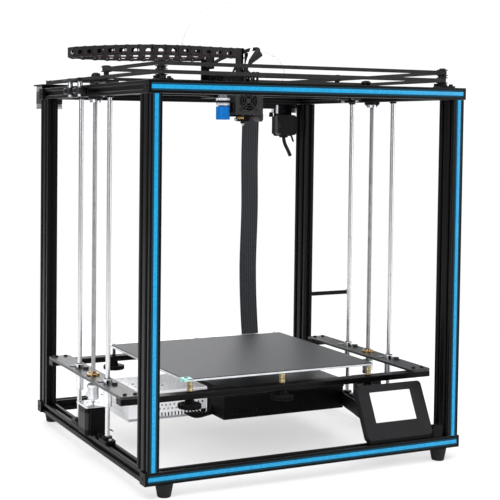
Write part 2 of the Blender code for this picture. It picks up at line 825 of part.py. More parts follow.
def build_fan():
    """A hub with seven pitched blades, turning about the front-to-back axis."""
    blades, hub_r, tip_r = 7, 0.008, FAN_R - 0.0012
    depth = 0.006
    centre = (HEAD_X, SHROUD_Y[0] + 0.0025, FAN_Z)
    hub = rod("fan_rotor", centre, depth, hub_r, BLACK_PLASTIC, axis="Y")
    made = []
    for i in range(blades):
        swing = Matrix.Rotation(2 * math.pi * i / blades, 4, "Y")
        pitch = Matrix.Rotation(math.radians(38), 4, "Z")
        bm = bmesh.new()
        bmesh.ops.create_cube(bm, size=1.0)
        bmesh.ops.scale(bm, vec=(0.0062, 0.0010, tip_r - hub_r + 0.002), verts=bm.verts)
        bmesh.ops.transform(bm, matrix=pitch, verts=bm.verts)
        bmesh.ops.translate(bm, vec=(0, 0, (tip_r + hub_r - 0.002) / 2), verts=bm.verts)
        bmesh.ops.transform(bm, matrix=swing, verts=bm.verts)
        middle = Matrix.Translation(Vector(centre) + Vector((0, depth / 2, 0)))
        made.append(place("blade", mesh_from("blade", bm), BLACK_PLASTIC, middle))
    join(hub, *made)


# ---------------------------------------------------------------- boxes and fittings
def build_boxes():
    """The controller and the power supply, each hung from the rear bar by two straps."""
    vents, first, pitch = 12, 0.225, 0.012
    vent_low, vent_high, vent_width, vent_depth = 0.044, 0.074, 0.005, 0.002
    low, high = zip(BOX_X, BOX_Y, BOX_Z)
    box = block("control_box", low, high, BLACK_METAL, bevel=0.0008)
    grooves = []
    for i in range(vents):
        y = first + i * pitch
        outer = (BOX_X[0] - 0.01, y, vent_low)
        inner = (BOX_X[0] + vent_depth, y + vent_width, vent_high)
        grooves.append(block("vent", outer, inner, BLACK_METAL))
    join(box, *hangers(BOX_X, BOX_Y[1], BOX_Z[0]))
    cut(box, *grooves)
    low, high = zip(SUPPLY_X, SUPPLY_Y, SUPPLY_Z)
    supply = block("power_supply", low, high, SILVER_PAINT)
    join(supply, *hangers(SUPPLY_X, SUPPLY_Y[1], SUPPLY_Z[0]))


def hangers(across, back, underside):
    """Two straps from a box's back edge, stepping down on to the rear bottom bar."""
    width, inset = 0.015, 0.0005
    straps = []
    for x in (across[0] + width, across[1] - 2 * width):
        low = (x, back - 0.010, underside - 0.0012)
        high = (x + width, FRAME_D - 0.004, underside + 0.002)
        straps.append(block("strap", low, high, BLACK_METAL))
        low = (x + inset, FRAME_D - 0.018, BAR + GAP)
        high = (x + width - inset, FRAME_D - 0.005, underside + 0.001)
        straps.append(block("step", low, high, BLACK_METAL))
    return straps


def build_screen():
    """The touch screen's wedge-shaped housing leans back on the front bar."""
    y, z = SCREEN_FOOT
    run, rise = math.sin(SCREEN_LEAN), math.cos(SCREEN_LEAN)
    length, thick = SCREEN_LENGTH, SCREEN_T
    front = [(y, z), (y + length * run, z + length * rise)]
    side = [
        front[0],
        (y + thick * rise, z - thick * run),
        (y + length * run + thick * rise, z + length * rise - thick * run),
        front[1],
    ]
    width = SCREEN_X[1] - SCREEN_X[0]
    upright = Matrix(((0, 0, 1, 0), (1, 0, 0, 0), (0, 1, 0, 0), (0, 0, 0, 1)))
    middle = Matrix.Translation(((SCREEN_X[0] + SCREEN_X[1]) / 2, 0, 0)) @ upright
    housing = slab("screen_housing", side, width, BLACK_PLASTIC, middle)
    edges = housing.modifiers.new("eased_edges", "BEVEL")
    edges.width = 0.0015
    edges.segments = 1
    return housing


def build_extruder():
    """The feeder: a plate on the rear bar, its flat motor in front and the drive body behind."""
    back = FRAME_D + GAP
    plate_t, motor_length = 0.003, 0.024
    x, z = 0.5305, 0.553
    plate = block("extruder", (0.504, back, 0.530), (0.553, back + plate_t, 0.592), BLACK_METAL)
    tab = block("tab", (0.504, back, 0.590), (0.527, back + plate_t, FRAME_H), BLACK_METAL)
    face_forward = axis_matrix((x, back - motor_length / 2 + 0.0005, z), "Y")
    body = slab("motor_body", motor_outline(), motor_length, BLACK_METAL, face_forward)
    low = (x - 0.0225, back + 0.002, 0.534)
    high = (x + 0.0185, back + 0.027, 0.571)
    drive = block("drive", low, high, BLACK_PLASTIC)
    fitting = rod("fitting", (0.512, back + 0.015, 0.570), 0.009, 0.005, BRASS, segments=12)
    join(plate, tab, body, drive, fitting)


def build_spool_holder():
    """A bracket on the rear right post with the arm that the filament reel turns on."""
    wall = FRAME_W + GAP
    y = FRAME_D - BAR
    root, lip_t = wall + 0.002, 0.004
    low = (wall, y - 0.015, SPOOL_Z - 0.016)
    high = (wall + 0.003, y + 0.015, SPOOL_Z + 0.016)
    bracket = block("spool_holder", low, high, BLACK_METAL)
    arm = rod("arm", (root, y, SPOOL_Z), SPOOL_X - root, 0.0042, BLACK_PLASTIC, "X", 16)
    lip = rod("lip", (SPOOL_X - lip_t, y, SPOOL_Z), lip_t, 0.0075, BLACK_PLASTIC, "X", 16)
    join(bracket, arm, lip)


def build_tube():
    """The filament tube springs up from the feeder and loops over to the head."""
    waypoints = [
        (0.512, 0.5295, 0.5795),
        (0.524, 0.529, 0.620),
        (0.531, 0.512, 0.660),
        (0.508, 0.494, 0.687),
        (0.472, 0.478, 0.699),
        (0.420, 0.450, 0.702),
        (0.350, 0.412, 0.698),
        (0.290, 0.384, 0.6945),
        (0.240, 0.362, 0.6955),
        (0.214, 0.343, 0.699),
        (0.213, 0.336, 0.712),
        (0.219, 0.328, 0.731),
        (0.234, 0.318, 0.753),
        (0.257, 0.308, 0.7695),
        (0.283, 0.298, 0.7755),
        (0.305, 0.288, 0.769),
        (0.320, 0.278, 0.7535),
        (0.327, 0.268, 0.728),
        (0.322, 0.262, 0.709),
        (0.309, 0.254, 0.681),
        (0.300, 0.250, 0.656),
        (0.293, 0.2494, 0.610),
    ]
    path = smooth_path(waypoints, 3)
    curve = bpy.data.curves.new("bowden_tube", "CURVE")
    curve.dimensions = "3D"
    curve.bevel_depth = TUBE_R
    curve.bevel_resolution = 1
    curve.use_fill_caps = True
    line = curve.splines.new("POLY")
    line.points.add(len(path) - 1)
    for point, place_at in zip(line.points, path):
        point.co = (*place_at, 1.0)
    drawn = bpy.data.objects.new("bowden_path", curve)
    bpy.context.scene.collection.objects.link(drawn)
    smooth(place("bowden_tube", curve_mesh("bowden_tube", drawn), CLEAR_TUBE))


build_frame()
build_slot_covers()
build_feet()
build_z_motors()
build_xy_motors()
build_guides()
build_bed()
build_carriages()
build_beam()
build_chain()
build_belts()
build_head_carriage()
build_hot_end()
build_shroud()
build_fan()
build_boxes()
build_screen()
build_extruder()
build_spool_holder()
build_tube()
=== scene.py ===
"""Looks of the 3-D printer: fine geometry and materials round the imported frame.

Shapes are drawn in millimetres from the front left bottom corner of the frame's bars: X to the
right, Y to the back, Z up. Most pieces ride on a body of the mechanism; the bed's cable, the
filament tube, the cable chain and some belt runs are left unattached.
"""

from math import atan2, ceil, cos, pi, radians, sin

import bmesh
import bpy
from mathutils import Matrix, Vector


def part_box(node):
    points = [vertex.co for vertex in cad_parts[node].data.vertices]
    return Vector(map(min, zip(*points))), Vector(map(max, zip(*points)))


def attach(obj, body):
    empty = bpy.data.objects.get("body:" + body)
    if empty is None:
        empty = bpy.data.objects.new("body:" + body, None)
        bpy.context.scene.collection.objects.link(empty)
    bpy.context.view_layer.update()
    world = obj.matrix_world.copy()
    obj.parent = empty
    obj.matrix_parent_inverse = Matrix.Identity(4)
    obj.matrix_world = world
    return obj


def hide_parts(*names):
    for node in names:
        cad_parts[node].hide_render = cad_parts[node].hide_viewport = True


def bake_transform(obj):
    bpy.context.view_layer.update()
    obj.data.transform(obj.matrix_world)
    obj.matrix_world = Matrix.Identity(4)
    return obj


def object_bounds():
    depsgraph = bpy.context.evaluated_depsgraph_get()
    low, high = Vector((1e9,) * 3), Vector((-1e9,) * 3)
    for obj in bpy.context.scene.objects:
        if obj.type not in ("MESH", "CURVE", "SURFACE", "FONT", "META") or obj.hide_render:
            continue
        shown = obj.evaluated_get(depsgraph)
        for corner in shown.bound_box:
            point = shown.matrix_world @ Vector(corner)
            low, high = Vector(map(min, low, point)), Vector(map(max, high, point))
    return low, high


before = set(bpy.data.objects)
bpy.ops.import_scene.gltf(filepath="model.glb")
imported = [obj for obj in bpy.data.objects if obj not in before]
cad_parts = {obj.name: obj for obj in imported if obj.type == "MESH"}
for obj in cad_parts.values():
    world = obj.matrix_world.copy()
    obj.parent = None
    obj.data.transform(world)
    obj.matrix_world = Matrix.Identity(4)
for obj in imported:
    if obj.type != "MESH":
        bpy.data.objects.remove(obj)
CAD_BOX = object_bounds()
MM = 0.001
CAP = 4.0
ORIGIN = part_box("front_bottom_bar")[0] + Vector((CAP * MM, 0, 0))


def corner_box(node):
    """The lowest and highest corner of a CAD node, in millimetres from the frame's corner."""
    low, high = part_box(node)
    return (low - ORIGIN) / MM, (high - ORIGIN) / MM


# Frame sizes that many pieces share
WIDTH = corner_box("front_top_bar")[1].x - CAP
HEIGHT = corner_box("front_top_bar")[1].z
DEPTH = corner_box("rear_top_bar")[1].y
BAR = 20.0
ROD_X = 10.0
SCREW_Y = 255.0
ROD_PITCH = 67.0
ROD_R = 4.0
SCREW_LEAD = 8.0
SCREW_STARTS = 4
PLATE_LOW = 623.0
PLATE_TOP = 625.8
UPPER_BELT = 643.3
LOWER_BELT = 630.2
BELT_BEND_R = 6.0
BELT_PITCH = 2.0
IDLER_X = 28.0
IDLER_IN_X = 40.0
FRONT_IDLER_Y = 24.0
NEAR_IDLER_Y = 250.0
FAR_IDLER_Y = 330.0
XY_MOTOR_Y = 548.0
HEAD_X = 292.0
CLAMP_X = 17.0
NOZZLE_Y = 249.0
STUD_X = (118.0, 292.0, 466.0)
WHEEL_Y = (274.0, 322.0)
STUD_Y = (98.0, 426.0)
SHEET_BACK = 416.0
LIFT_LOW, LIFT_TOP = 114.3, 119.0
CHAIN_LOW, CHAIN_HIGH = 672.0, 690.0
CHAIN_PITCH = 22.6
FAN_Z = 594.0
STRAP = 15.0
SIDES = ("left", "right")
ENDS = ("front", "rear")
UPRIGHT = Matrix(((1, 0, 0, 0), (0, 0, 1, 0), (0, 1, 0, 0), (0, 0, 0, 1)))
SIDEWAYS = Matrix(((0, 0, 1, 0), (1, 0, 0, 0), (0, 1, 0, 0), (0, 0, 0, 1)))
UP = Vector((0, 0, 1))
MIDDLE = Vector((0.26, 0.25, 0.33))
CASE_FLOOR = 32.0


def upright_box(node):
    """An upright CAD node's lowest and highest corner, and where its middle line stands."""
    low, high = corner_box(node)
    return low, high, (low.x + high.x) / 2, (low.y + high.y) / 2


def flip(x, side):
    """x on the left side of the machine, or its mirror place on the right."""
    return WIDTH - x if side == "right" else x


def point(x, y, z):
    """A place in millimetres from the frame's corner, in the machine's own metres."""
    return ORIGIN + Vector((x, y, z)) * MM


def new_object(name, data):
    made = bpy.data.objects.new(name, data)
    bpy.context.scene.collection.objects.link(made)
    return made


def new_mesh(name, bm):
    """A mesh from the drawn shape, which is used up."""
    mesh = bpy.data.meshes.new(name)
    bm.to_mesh(mesh)
    bm.free()
    return mesh


# ---------------------------------------------------------------- materials
def fill(node, **values):
    """Sets a node's inputs or its properties; in an input's name _ stands for a space."""
    for key, value in values.items():
        spaced = key.replace("_", " ")
        if spaced in node.inputs:
            node.inputs[spaced].default_value = value
        else:
            setattr(node, key, value)
    return node


class Nodes:
    """A node tree, with short calls to add and join nodes."""

    def __init__(self, owner):
        owner.use_nodes = True
        self.tree = owner.node_tree
        self.shader = self.tree.nodes.get("Principled BSDF")

    def add(self, kind, **values):
        return fill(self.tree.nodes.new(kind), **values)

    def link(self, source, output, target, socket):
        self.tree.links.new(source.outputs[output], target.inputs[socket])

    def noise(self, scale, stretch=(1, 1, 1), detail=4.0):
        """Noise over the piece's own coordinates, stretched along some axes."""
        place = self.add("ShaderNodeTexCoord")
        mapping = self.add("ShaderNodeMapping", Scale=stretch)
        noise = self.add("ShaderNodeTexNoise", Scale=scale, Detail=detail)
        self.link(place, "Object", mapping, "Vector")
        self.link(mapping, "Vector", noise, "Vector")
        return noise

    def stripes(self, scale, distortion, direction):
        """Bands across one of the piece's own directions."""
        wave = self.add("ShaderNodeTexWave", Scale=scale, Distortion=distortion, bands_direction=direction)
        self.link(self.add("ShaderNodeTexCoord"), "Object", wave, "Vector")
        return wave

    def spread(self, noise, low, high):
        """The noise stretched over a range of plain values."""
        ramp = self.add("ShaderNodeMapRange", From_Min=0.3, From_Max=0.7, To_Min=low, To_Max=high)
        self.link(noise, "Fac", ramp, "Value")
        return ramp

    def shades(self, noise, dark, light):
        """The shader's base colour: the noise as a colour between two shades."""
        ramp = self.add("ShaderNodeValToRGB")
        for stop, place, colour in zip(ramp.color_ramp.elements, (0.32, 0.68), (dark, light)):
            stop.position = place
            stop.color = (*colour, 1.0)
        self.link(noise, "Fac", ramp, "Fac")
        self.link(ramp, "Color", self.shader, "Base Color")
        return ramp

    def relief(self, heights, strength):
        """Fine height differences that tilt the surface a little."""
        bump = self.add("ShaderNodeBump", Strength=strength, Distance=0.0002)
        self.link(heights, "Fac", bump, "Height")
        self.link(bump, "Normal", self.shader, "Normal")


def shade(colour, share):
    return tuple(min(1.0, c * share) for c in colour)


def surface(
    name, colour, rough, metal=0.0, mottle=30.0, contrast=0.12, grain=2500.0, bump=0.12,
    stretch=(1, 1, 1), edge_wear_and_highlight=0.0, shine=0.5, painted_glow=0.0,
):
    """A surface with mottled colour, uneven gloss, a fine grain, optional pale edges that are partly wear
    and partly a painted highlight, and an optional painted glow.
    """
    material = bpy.data.materials.new(name)
    made = Nodes(material)
    patches = made.noise(mottle, stretch)
    tint = made.shades(patches, shade(colour, 1 - contrast), shade(colour, 1 + contrast))
    gloss = made.spread(made.noise(mottle * 7, stretch), rough * 0.85, rough * 1.15)
    made.link(gloss, "Result", made.shader, "Roughness")
    fill(made.shader, Metallic=metal, Specular_IOR_Level=shine)
    # Painted glow: a white emission that brightens the surface though it is no lamp.
    fill(made.shader, Emission_Color=(1, 1, 1, 1), Emission_Strength=painted_glow)
    made.relief(made.noise(grain, stretch, 2.0), bump)
    if edge_wear_and_highlight:
        pale_edges(made, tint, colour, edge_wear_and_highlight)
    return material


def pale_edges(made, tint, colour, edge_wear_and_highlight):
    """Lightens the colour where the surface turns over an edge: partly wear, partly a painted highlight.
    """
    rounded = made.add("ShaderNodeBevel", Radius=0.0007, samples=3)
    face = made.add("ShaderNodeNewGeometry")
    turn = made.add("ShaderNodeVectorMath", operation="DOT_PRODUCT")
    made.link(rounded, "Normal", turn, 0)
    made.link(face, "Normal", turn, 1)
    mask = made.add("ShaderNodeMapRange", From_Min=0.99, From_Max=0.80, To_Max=edge_wear_and_highlight)
    made.link(turn, "Value", mask, "Value")
    mix = made.add("ShaderNodeMix", data_type="RGBA")
    made.link(mask, "Result", mix, 0)
    made.link(tint, "Color", mix, 6)
    mix.inputs[7].default_value = (*[min(1.0, c * 2 + 0.16) for c in colour], 1.0)
    made.link(mix, 2, made.shader, "Base Color")


def ribbon_surface():
    """A flat black cable whose parallel cores are drawn as pale and dark stripes: painted sheen on their
    ridges and painted shade between them.
    """
    material = bpy.data.materials.new("ribbon")
    made = Nodes(material)
    made.shades(made.stripes(75.0, 0.4, "X"), (0.004, 0.0045, 0.006), (0.030, 0.033, 0.040))
    fill(made.shader, Roughness=0.42, Specular_IOR_Level=0.2)
    return material


def glass_surface():
    """The screen's pale display under its cover, faintly lit from within."""
    material = bpy.data.materials.new("display")
    made = Nodes(material)
    tint = made.shades(made.noise(9.0), (0.60, 0.60, 0.60), (0.66, 0.65, 0.65))
    made.link(tint, "Color", made.shader, "Emission Color")
    fill(made.shader, Emission_Strength=0.03, Roughness=0.30, Coat_Weight=0.3)
    return material


def laminate_surface():
    """A motor's stacked core: thin dark sheets edge-on."""
    material = bpy.data.materials.new("laminate")
    made = Nodes(material)
    sheets = made.stripes(320.0, 0.2, "Z")
    made.shades(sheets, (0.003, 0.003, 0.0033), (0.011, 0.011, 0.012))
    made.relief(sheets, 0.4)
    fill(made.shader, Roughness=0.45, Specular_IOR_Level=0.3)
    return material


ALONG_X, ALONG_Y, ALONG_Z = (0.03, 1, 1), (1, 0.03, 1), (1, 1, 0.03)
ANODISED_COLOUR = (0.0024, 0.0024, 0.0027)
# Pale edges on the bars: partly wear, partly a painted highlight along their edges.
ANODISED = {
    axis: surface(
        f"anodised_{axis}", ANODISED_COLOUR, 0.32, 0.0, 160.0, 0.22, 2600.0, 0.08, stretch,
        edge_wear_and_highlight=0.5, shine=0.08,
    )
    for axis, stretch in (("X", ALONG_X), ("Y", ALONG_Y), ("Z", ALONG_Z))
}
COVER_BLUE = surface(
    "slot_cover", (0.006, 0.27, 0.53), 0.28, 0.0, 24.0, 0.06, 1500.0, 0.04, shine=0.3
)
# Dark blue for the covers' edges: painted shade where the strip sinks into the slot.
COVER_PAINTED_SHADE_EDGE = surface(
    "slot_cover_painted_shade_edge", (0.010, 0.044, 0.068), 0.50, 0.0, 24.0, 0.06, 1500.0, 0.04, shine=0.02
)
CHROME = surface("chrome_rod", (0.58, 0.58, 0.59), 0.24, 1.0, 60.0, 0.04, 4000.0, 0.01, ALONG_Z)
THREAD = surface("rolled_thread", (0.34, 0.34, 0.35), 0.30, 1.0, 90.0, 0.14, 3000.0, 0.05)
SILVER = surface("silver_metal", (0.66, 0.67, 0.69), 0.30, 1.0, 80.0, 0.10, 3000.0, 0.08)
ZINC = surface("zinc_bolt", (0.50, 0.51, 0.53), 0.32, 1.0, 200.0, 0.16, 3000.0, 0.08)
BLACK_BOLT = surface(
    "black_bolt", (0.003, 0.003, 0.0033), 0.34, 0.0, 200.0, 0.2, 3000.0, 0.1, edge_wear_and_highlight=0.3, shine=0.14
)
BRASS = surface("brass", (0.50, 0.33, 0.13), 0.24, 1.0, 90.0, 0.12, 2600.0, 0.08)
SPRING_GOLD = surface("spring_gold", (0.74, 0.60, 0.32), 0.30, 0.9, 90.0, 0.10, 2600.0, 0.05)
POWDER = surface(
    "powder_coat", (0.0026, 0.0026, 0.0029), 0.42, 0.0, 50.0, 0.16, 1700.0, 0.32, edge_wear_and_highlight=0.3, shine=0.08
)
PLASTIC = surface(
    "black_plastic", (0.0026, 0.0026, 0.0029), 0.44, 0.0, 40.0, 0.16, 1400.0, 0.26, edge_wear_and_highlight=0.25, shine=0.07
)
WHEEL_PLASTIC = surface(
    "wheel_plastic", (0.009, 0.009, 0.010), 0.36, 0.0, 90.0, 0.15, 1800.0, 0.12, shine=0.22
)
RUBBER = surface("rubber", (0.007, 0.007, 0.007), 0.75, 0.0, 60.0, 0.18, 900.0, 0.30, shine=0.25)
BELT = surface("belt_rubber", (0.022, 0.021, 0.021), 0.6, 0.0, 90.0, 0.15, 2400.0, 0.25, shine=0.15)
PLATE_GREY = surface(
    "plate_grey", (0.022, 0.022, 0.023), 0.34, 0.1, 70.0, 0.12, 2600.0, 0.12, ALONG_Y, edge_wear_and_highlight=0.3, shine=0.32
)
MILLED = surface("milled_aluminium", (0.63, 0.64, 0.66), 0.33, 0.9, 90.0, 0.08, 2600.0, 0.10)
SHEET = surface(
    "build_sheet", (0.024, 0.025, 0.027), 0.52, 0.0, 220.0, 0.16, 1300.0, 0.45, shine=0.4
)
# The case has a painted glow, so it stays bright in the shade under the bed.
SUPPLY_SILVER = surface(
    "supply_silver", (0.90, 0.90, 0.92), 0.45, 0.1, 60.0, 0.07, 2200.0, 0.12, painted_glow=0.16
)
PROBE_BLUE = surface(
    "probe_blue", (0.0, 0.125, 0.42), 0.45, 0.0, 90.0, 0.10, 1600.0, 0.2, shine=0.15
)
NYLON = surface("pale_nylon", (0.62, 0.64, 0.68), 0.45, 0.0, 90.0, 0.06, 1600.0, 0.12)
# The tube has a painted glow, so it stays white where shade falls on it.
TUBE = surface("white_tube", (0.52, 0.52, 0.52), 0.35, 0.0, 60.0, 0.02, 1600.0, 0.03, painted_glow=0.42)
RED_WIRE = surface("red_wire", (0.10, 0.010, 0.012), 0.42, 0.0, 90.0, 0.16, 1600.0, 0.1)
WIRE = surface(
    "black_wire", (0.005, 0.005, 0.0055), 0.42, 0.0, 90.0, 0.18, 1600.0, 0.15, shine=0.15
)
# A deeper black than the other plastics, partly painted shade: on the fan's hub and blades and on the
# bearing collar's slot it darkens what lies in shadow.
DEEP_BLACK_AND_SHADE = surface("deep_black_and_painted_shade", (0.0015, 0.0015, 0.0016), 0.7, 0.0, 60.0, 0.2, 1500.0, 0.2, shine=0.12)
INSULATION = surface("insulation", (0.05, 0.048, 0.045), 0.85, 0.0, 240.0, 0.30, 700.0, 0.6)
CLIP_MINT = surface("clip_mint", (0.42, 0.80, 0.72), 0.4, 0.0, 90.0, 0.1, 1600.0, 0.1)
CLIP_DARK = surface("clip_rivet", (0.01, 0.16, 0.14), 0.4, 0.0, 90.0, 0.1, 1600.0, 0.1)
CASE_LID = surface("case_lid", (0.040, 0.040, 0.042), 0.42, 0.0, 50.0, 0.10, 1700.0, 0.2)
# A darker silver: painted shade on the supply's lower front strip.
SUPPLY_PAINTED_SHADE = surface("supply_painted_shade", (0.42, 0.42, 0.44), 0.5, 0.1, 60.0, 0.07, 2200.0, 0.12)
SUPPLY_INSIDE = surface("supply_inside", (0.45, 0.45, 0.47), 0.6, 0.0, 60.0, 0.15, 1600.0, 0.2)
CHAIN_BLACK = surface(
    "chain_nylon", (0.019, 0.017, 0.017), 0.5, 0.0, 60.0, 0.15, 1600.0, 0.2, shine=0.12
)
SHROUD = surface(
    "shroud_plastic", (0.024, 0.024, 0.025), 0.5, 0.0, 50.0, 0.12, 1400.0, 0.3, shine=0.15
)
BEZEL = surface(
    "bezel_plastic", (0.010, 0.010, 0.011), 0.5, 0.0, 50.0, 0.12, 1400.0, 0.4, shine=0.12
)
WASHER = surface("washer_steel", (0.16, 0.16, 0.17), 0.45, 0.3, 90.0, 0.12, 2400.0, 0.1)
RIBBON = ribbon_surface()
DISPLAY = glass_surface()
LAMINATE = laminate_surface()


# ---------------------------------------------------------------- shapes
AXIS_TURN = {
    "Z": Matrix.Identity(4),
    "-Z": Matrix.Rotation(pi, 4, "X"),
    "X": Matrix.Rotation(pi / 2, 4, "Y"),
    "-X": Matrix.Rotation(-pi / 2, 4, "Y"),
    "Y": Matrix.Rotation(-pi / 2, 4, "X"),
    "-Y": Matrix.Rotation(pi / 2, 4, "X"),
}


def four(reach):
    """The four corners of a square round the origin."""
    return [(x, y) for x in (-reach, reach) for y in (-reach, reach)]


def turned_to(centre, axis):
    return Matrix.Translation(centre) @ AXIS_TURN[axis]


def circle(radius, count=24, centre=(0, 0)):
    steps = [2 * pi * i / count for i in range(count)]
    return [(centre[0] + radius * cos(a), centre[1] + radius * sin(a)) for a in steps]


def round_rect(low, high, radius, steps=5):
    """A rectangle's outline with rounded corners."""
    left, right = low[0] + radius, high[0] - radius
    front, back = low[1] + radius, high[1] - radius
    points = []
    for quarter, (x, y) in enumerate(((right, back), (left, back), (left, front), (right, front))):
        for i in range(steps + 1):
            angle = radians(90 * (quarter + i / steps))
            points.append((x + radius * cos(angle), y + radius * sin(angle)))
    return points


def ribbed_circle(x, y, radius, depth, count):
    """A circle with twenty shallow ribs."""
    outline = []
    for i in range(count):
        angle = 2 * pi * i / count
        r = radius + depth * cos(20 * angle)
        outline.append((x + r * cos(angle), y + r * sin(angle)))
    return outline


def ridges(top, low, root, crest, pitch):
    """The profile of a thread's turns, from its closed top down to about low."""
    profile = [(0, top)]
    for i in range(ceil((top - low) / pitch)):
        z = top - pitch * i
        profile += [(root, z), (crest, z - pitch / 2)]
    return profile


def smooth_path(waypoints, steps=8):
    """A Catmull-Rom curve through the waypoints."""
    points = [Vector(p) for p in waypoints]
    ends = [2 * points[0] - points[1]] + points + [2 * points[-1] - points[-2]]
    path = []
    for a, b, c, d in zip(ends, ends[1:], ends[2:], ends[3:]):
        for i in range(steps):
            t = i / steps
            curve = 2 * b + (c - a) * t
            curve += (2 * a - 5 * b + 4 * c - d) * t**2 + (3 * b - a - 3 * c + d) * t**3
            path.append(curve / 2)
    return path + [points[-1]]


def even_path(path, spacing):
    """The same path with points an even distance apart."""
    lengths = [0.0]
    for a, b in zip(path, path[1:]):
        lengths.append(lengths[-1] + (b - a).length)
    count = max(2, round(lengths[-1] / spacing))
    made, k = [], 0
    for i in range(count + 1):
        want = lengths[-1] * i / count
        while k < len(path) - 2 and lengths[k + 1] < want:
            k += 1
        span = max(lengths[k + 1] - lengths[k], 1e-9)
        made.append(path[k].lerp(path[k + 1], (want - lengths[k]) / span))
    return made


def path_frames(path, up=None):
    """A side and an over direction at each point of a path, without twist."""
    frames, side = [], None
    for i, point in enumerate(path):
        along = (path[min(i + 1, len(path) - 1)] - path[max(i - 1, 0)]).normalized()
        if up is not None:
            side = along.cross(up).normalized()
        elif side is None:
            side = along.orthogonal().normalized()
        else:
            side = (side - along * side.dot(along)).normalized()
        frames.append((point, side, side.cross(along).normalized()))
    return frames


class Piece:
    """One visible piece: many shapes in one mesh, drawn in millimetres from the frame's corner."""

    def __init__(self, name, body, slot, *nodes):
        self.name = name
        self.body = body
        self.slot = slot
        self.nodes = nodes
        self.bm = bmesh.new()
        self.paints = []

    def add(self, bm, paint, matrix=None, bevel=0.0, segments=2):
        """Adds one shape, with its sharp edges eased."""
        bmesh.ops.recalc_face_normals(bm, faces=bm.faces)
        if bevel:
            sharp = [e for e in bm.edges if e.is_manifold and e.calc_face_angle(0) > 0.7]
            bmesh.ops.bevel(bm, geom=sharp, offset=bevel, segments=segments, affect="EDGES", profile=0.5)
        if matrix is not None:
            bmesh.ops.transform(bm, matrix=matrix, verts=bm.verts)
        if paint not in self.paints:
            self.paints.append(paint)
        index = self.paints.index(paint)
        for face in bm.faces:
            face.material_index = index
            face.smooth = True
        shape = new_mesh("shape", bm)
        self.bm.from_mesh(shape)
        bpy.data.meshes.remove(shape)

    def box(self, low, high, paint, bevel=0.4, matrix=None):
        low, high = Vector(low), Vector(high)
        bm = bmesh.new()
        bmesh.ops.create_cube(bm, size=1.0)
        bmesh.ops.scale(bm, vec=high - low, verts=bm.verts)
        place = Matrix.Translation((low + high) / 2)
        self.add(bm, paint, matrix @ place if matrix else place, bevel)

    def rod(self, start, length, radius, paint, axis="Z", bevel=0.3, count=28):
        bm = bmesh.new()
        bmesh.ops.create_cone(
            bm, cap_ends=True, segments=count, radius1=radius, radius2=radius, depth=length
        )
        bmesh.ops.translate(bm, vec=(0, 0, length / 2), verts=bm.verts)
        self.add(bm, paint, turned_to(start, axis), min(bevel, radius * 0.3, length * 0.3))

    def lathe(self, profile, centre, paint, axis="Z", count=36, closed=False):
        """A profile of (radius, height) points, spun round its axis."""
        bm = bmesh.new()
        rings = []
        for r, z in profile:
            spots = circle(r, count) if r > 1e-6 else [(0.0, 0.0)]
            rings.append([bm.verts.new((x, y, z)) for x, y in spots])
        pairs = list(zip(rings, rings[1:]))
        if closed:
            pairs.append((rings[-1], rings[0]))
        for a, b in pairs:
            bridge(bm, a, b)
        self.add(bm, paint, turned_to(centre, axis))

    def tube(self, centre, inner, outer, low, high, paint, count=36):
        """A plain sleeve between two heights."""
        profile = [(inner, high), (outer, high), (outer, low), (inner, low)]
        self.lathe(profile, centre, paint, count=count, closed=True)

    def even_ring(self, upper, centre, paint, count=36):
        """A closed ring whose lower half mirrors the upper one."""
        lower = [(r, -z) for r, z in reversed(upper)]
        self.lathe(upper + lower, centre, paint, count=count, closed=True)

    def sheet(self, loops, low, high, paint, matrix=None, bevel=0.25):
        """A flat outline, with any holes, given thickness."""
        bm = bmesh.new()
        for loop in loops:
            verts = [bm.verts.new((x, y, low)) for x, y in loop]
            for a, b in zip(verts, verts[1:] + verts[:1]):
                bm.edges.new((a, b))
        bmesh.ops.triangle_fill(bm, use_beauty=True, edges=bm.edges[:])
        made = bmesh.ops.extrude_face_region(bm, geom=bm.faces[:])
        tops = [v for v in made["geom"] if isinstance(v, bmesh.types.BMVert)]
        bmesh.ops.translate(bm, vec=(0, 0, high - low), verts=tops)
        self.add(bm, paint, matrix, bevel, 1)

    def sweep(self, path, section, paint, up=None):
        """A section carried along a path; section may be a function of the point's number."""
        bm = bmesh.new()
        rings = []
        for i, (point, side, over) in enumerate(path_frames(path, up)):
            shape = section(i) if callable(section) else section
            rings.append([bm.verts.new(point + side * u + over * v) for u, v in shape])
        for a, b in zip(rings, rings[1:]):
            bridge(bm, a, b)
        bm.faces.new(rings[0])
        bm.faces.new(rings[-1])
        self.add(bm, paint)

    def wire(self, waypoints, radius, paint, steps=8, count=10):
        self.sweep(smooth_path(waypoints, steps), circle(radius, count), paint)

    def bolt(self, seat, axis="Z", radius=3.5, paint=None, height=None):
        """A socket-head bolt's head, standing on a surface."""
        height = height or radius * 0.9
        socket, depth = radius * 0.5, height * 0.35
        profile = [(0, depth), (socket, depth), (socket, height), (radius - 0.35, height)]
        profile += [(radius, height - 0.35), (radius, -0.3), (0, -0.3)]
        self.lathe(profile, seat, paint or BLACK_BOLT, axis, 18)

    def nut(self, seat, axis="Z", radius=4.2, height=3.2, paint=None):
        self.rod(seat, height, radius, paint or ZINC, axis, 0.35, 6)

    def done(self):
        """Makes the object, hides the CAD nodes it stands for and returns it, with no body yet."""
        place = Matrix.Translation(ORIGIN) @ Matrix.Scale(MM, 4)
        bmesh.ops.transform(self.bm, matrix=place, verts=self.bm.verts)
        mesh = new_mesh(self.name, self.bm)
        for paint in self.paints:
            mesh.materials.append(paint)
        mesh.set_sharp_from_angle(angle=radians(38))
        made = new_object(self.name, mesh)
        even = made.modifiers.new("even_faces", "WEIGHTED_NORMAL")
        even.keep_sharp = True
        if self.nodes:
            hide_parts(*self.nodes)
        return made

